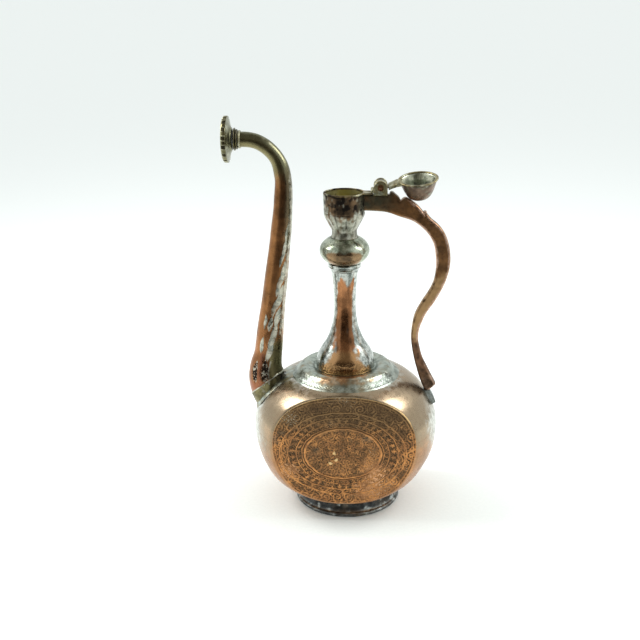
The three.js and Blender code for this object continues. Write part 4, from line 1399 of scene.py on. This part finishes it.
def lid_flange(material):
    """The flat ring that lies on the rim when the lid is shut."""
    outline = [(15.6, 0.1), (17.4, 0), (17.9, 0.3), (17.9, 0.9), (17.5, 1.15), (15.6, 1.15)]
    grid = opened(lathe(np.array(outline) + (0, LID_PLANE), 160) - (LID_REACH, 0, 0))
    tin = 0.35 + 0.8 * layered(grid, 5, 131)
    dark = 0.35 + 0.6 * layered(grid, 3, 132)
    grid_piece("flange", grid, material, ["lid_flange"], "lid", True, tin=tin, dark=dark)


def lid_cup(material):
    """The lid's deep dome: when thrown back it stands open like a cup, tinned inside near its edge, with
    painted shade darkening it deeper in.
    """
    steps = 40
    share = np.sin(np.linspace(0, pi / 2, steps))
    width = (1 - 0.42 * share) * np.sqrt(1 - share**6)
    base = LID_PLANE + 1.3
    outer = np.stack([LID_RADIUS * width, base + LID_RISE * share], axis=1)
    inner = np.stack([(LID_RADIUS - LID_WALL) * width, base + (LID_RISE - LID_WALL) * share], axis=1)
    rows = np.concatenate([inner[::-1], outer])
    local = lathe(rows, 144) - (LID_REACH, 0, 0)
    wobble = noise(local, 6, 133) * 0.15 - 0.12
    local[steps:] = raised(local[steps:], wobble[steps:])
    grid = opened(local)
    inside = (np.arange(len(rows)) < steps)[:, None]
    depth = (local[..., 2] - LID_PLANE) / 20
    # Inside, the tin fades and painted shade darkens the dome deeper in.
    tin = np.where(inside, 1.0 - 1.3 * smoothstep(0.15, 0.5, depth), 0.1) + 0.6 * layered(grid, 5, 134)
    dark = np.where(inside, 0.1 + 0.5 * smoothstep(0.25, 0.5, depth), 0.25) + 0.6 * layered(grid, 3.5, 135)
    film = np.where(inside, 0.9, 0.5 * smoothstep(0.0, 0.5, layered(grid, 6, 138)))
    grid_piece("lid_cup", grid, material, ["lid_bowl"], "lid", tin=tin, dark=dark, veil=film)


def lid_strap(material):
    """The strap that rises from the flange to the knuckle, and its tongue between the ears."""
    low = LID_PLANE + 1.35
    high = low + STRAP_RISE
    outline = [
        (-19.5, low), (-14.6, low), (-6.9, high), (-6.9, high + 2.9), (-14.6, low + 2.9),
        (-19.5, low + 2.4),
    ]
    bar = slab(outline, -6.4, 6.4, 0.6)
    bar[..., 1] *= 1 - 0.15 * smoothstep(-15, -8, bar[..., 0])
    grid = opened(bar)
    tin = 0.45 + 0.7 * layered(grid, 4, 136)
    dark = 0.3 + 0.5 * layered(grid, 3, 137)
    grid_piece("strap", grid, material, ["lid_strap"], "lid", tin=tin, dark=dark)
    root = [(-7.4, high + 0.1), (-4.6, high + 0.1), (-4.6, high + 2.1), (-7.4, high + 2.1)]
    tongue = opened(slab(root, -2.65, 2.65, 0.3))
    grid_piece("strap_root", tongue, material, [], "lid", tin=0.5, dark=0.35, veil=0.5)


# ---- making everything -----------------------------------------------------------------------------
# Each worn metal: bright and deep copper, then what differs from the usual.
METALS = {
    "worn_copper": {
        "bright": (204, 152, 110), "deep": (170, 122, 84), "veil": (156, 138, 114), "rough": 0.24,
        "grain": 0.25,
    },
    "spout_copper": {
        "bright": (164, 114, 72), "deep": (116, 80, 50), "veil": (130, 122, 88), "tin": (206, 202, 186),
        "dull_tin": (140, 144, 134), "rough": 0.24, "grain": 0.3,
    },
    "handle_copper": {
        "bright": (162, 118, 78), "deep": (116, 86, 60), "veil": (196, 158, 114),
        "tin": (212, 178, 156), "dull_tin": (178, 138, 112), "rough": 0.32, "grain": 0.5,
    },
    "cup_metal": {
        "bright": (124, 100, 76), "deep": (80, 66, 52), "veil": (214, 206, 150), "tin": (190, 190, 176),
        "dull_tin": (124, 124, 110), "rough": 0.3, "grain": 1.0,
    },
    "neck_metal": {
        "bright": (190, 132, 90), "deep": (134, 92, 62), "veil": (180, 140, 98), "tin": (206, 210, 204),
        "dull_tin": (130, 138, 132), "rough": 0.19, "grain": 0.2,
    },
    "knop_metal": {
        "bright": (176, 130, 96), "deep": (124, 96, 72), "veil": (150, 124, 94), "tin": (178, 184, 166),
        "dull_tin": (126, 134, 116), "rough": 0.2, "grain": 0.3,
    },
    "shoulder_metal": {
        "bright": (196, 152, 112), "deep": (156, 120, 86), "veil": (146, 140, 118),
        "tin": (178, 186, 176), "dull_tin": (130, 140, 132), "rough": 0.27, "grain": 0.5,
    },
    "foot_patina": {
        "bright": (114, 104, 92), "deep": (74, 72, 70), "tin": (176, 182, 180), "veil": (86, 90, 92),
        "dirt_and_shade": (32, 33, 33), "rough": 0.3,
    },
    "olive_patina": {
        "bright": (150, 140, 96), "deep": (104, 98, 68), "veil": (118, 116, 90), "tin": (206, 204, 176),
        "dull_tin": (148, 146, 118),
    },
    "cream_rim": {
        "bright": (160, 150, 110), "deep": (118, 110, 80), "veil": (132, 100, 66),
        "tin": (200, 200, 176), "dull_tin": (146, 146, 120), "rough": 0.38,
    },
    "lid_patina": {
        "bright": (128, 108, 92), "deep": (88, 76, 68), "veil": (136, 142, 122), "tin": (208, 210, 190),
        "dull_tin": (140, 144, 128), "rough": 0.3,
    },
    "pin_copper": {
        "bright": (128, 84, 56), "deep": (84, 56, 40), "rough": 0.34,
    },
}
materials = {name: worn_metal(name, **finish) for name, finish in METALS.items()}

add_camera()
add_studio()
foot_ring(materials["foot_patina"])
lower_body(materials["worn_copper"])
upper_body(materials["worn_copper"])
chased_copper = panel_metal()
panel("front_panel", -1, "front_medallion", chased_copper, 170, 860)
panel("back_panel", 1, "back_medallion", chased_copper, 130, 640)
shoulder_plate(materials["shoulder_metal"])
neck_tube(materials["neck_metal"])
neck_ring(materials["neck_metal"])
knop_half("knop_below", "knop_lower", KNOP_LOW, KNOP_CENTRE - SEAM_GAP, materials["knop_metal"])
knop_half("knop_above", "knop_upper", KNOP_CENTRE + SEAM_GAP, KNOP_HIGH, materials["knop_metal"])
mouth_cup(materials["cup_metal"])
mouth_rim(materials["cream_rim"])
spout_tube(materials["spout_copper"])
spout_saddle(materials["shoulder_metal"])
spout_collars(materials)
rosette(materials["olive_patina"])
handle_bar(materials["handle_copper"])
handle_nib(materials["handle_copper"])
leaf(materials["foot_patina"])
hinge_pieces(materials)
lid_flange(materials["cream_rim"])
lid_cup(materials["lid_patina"])
lid_strap(materials["cream_rim"])
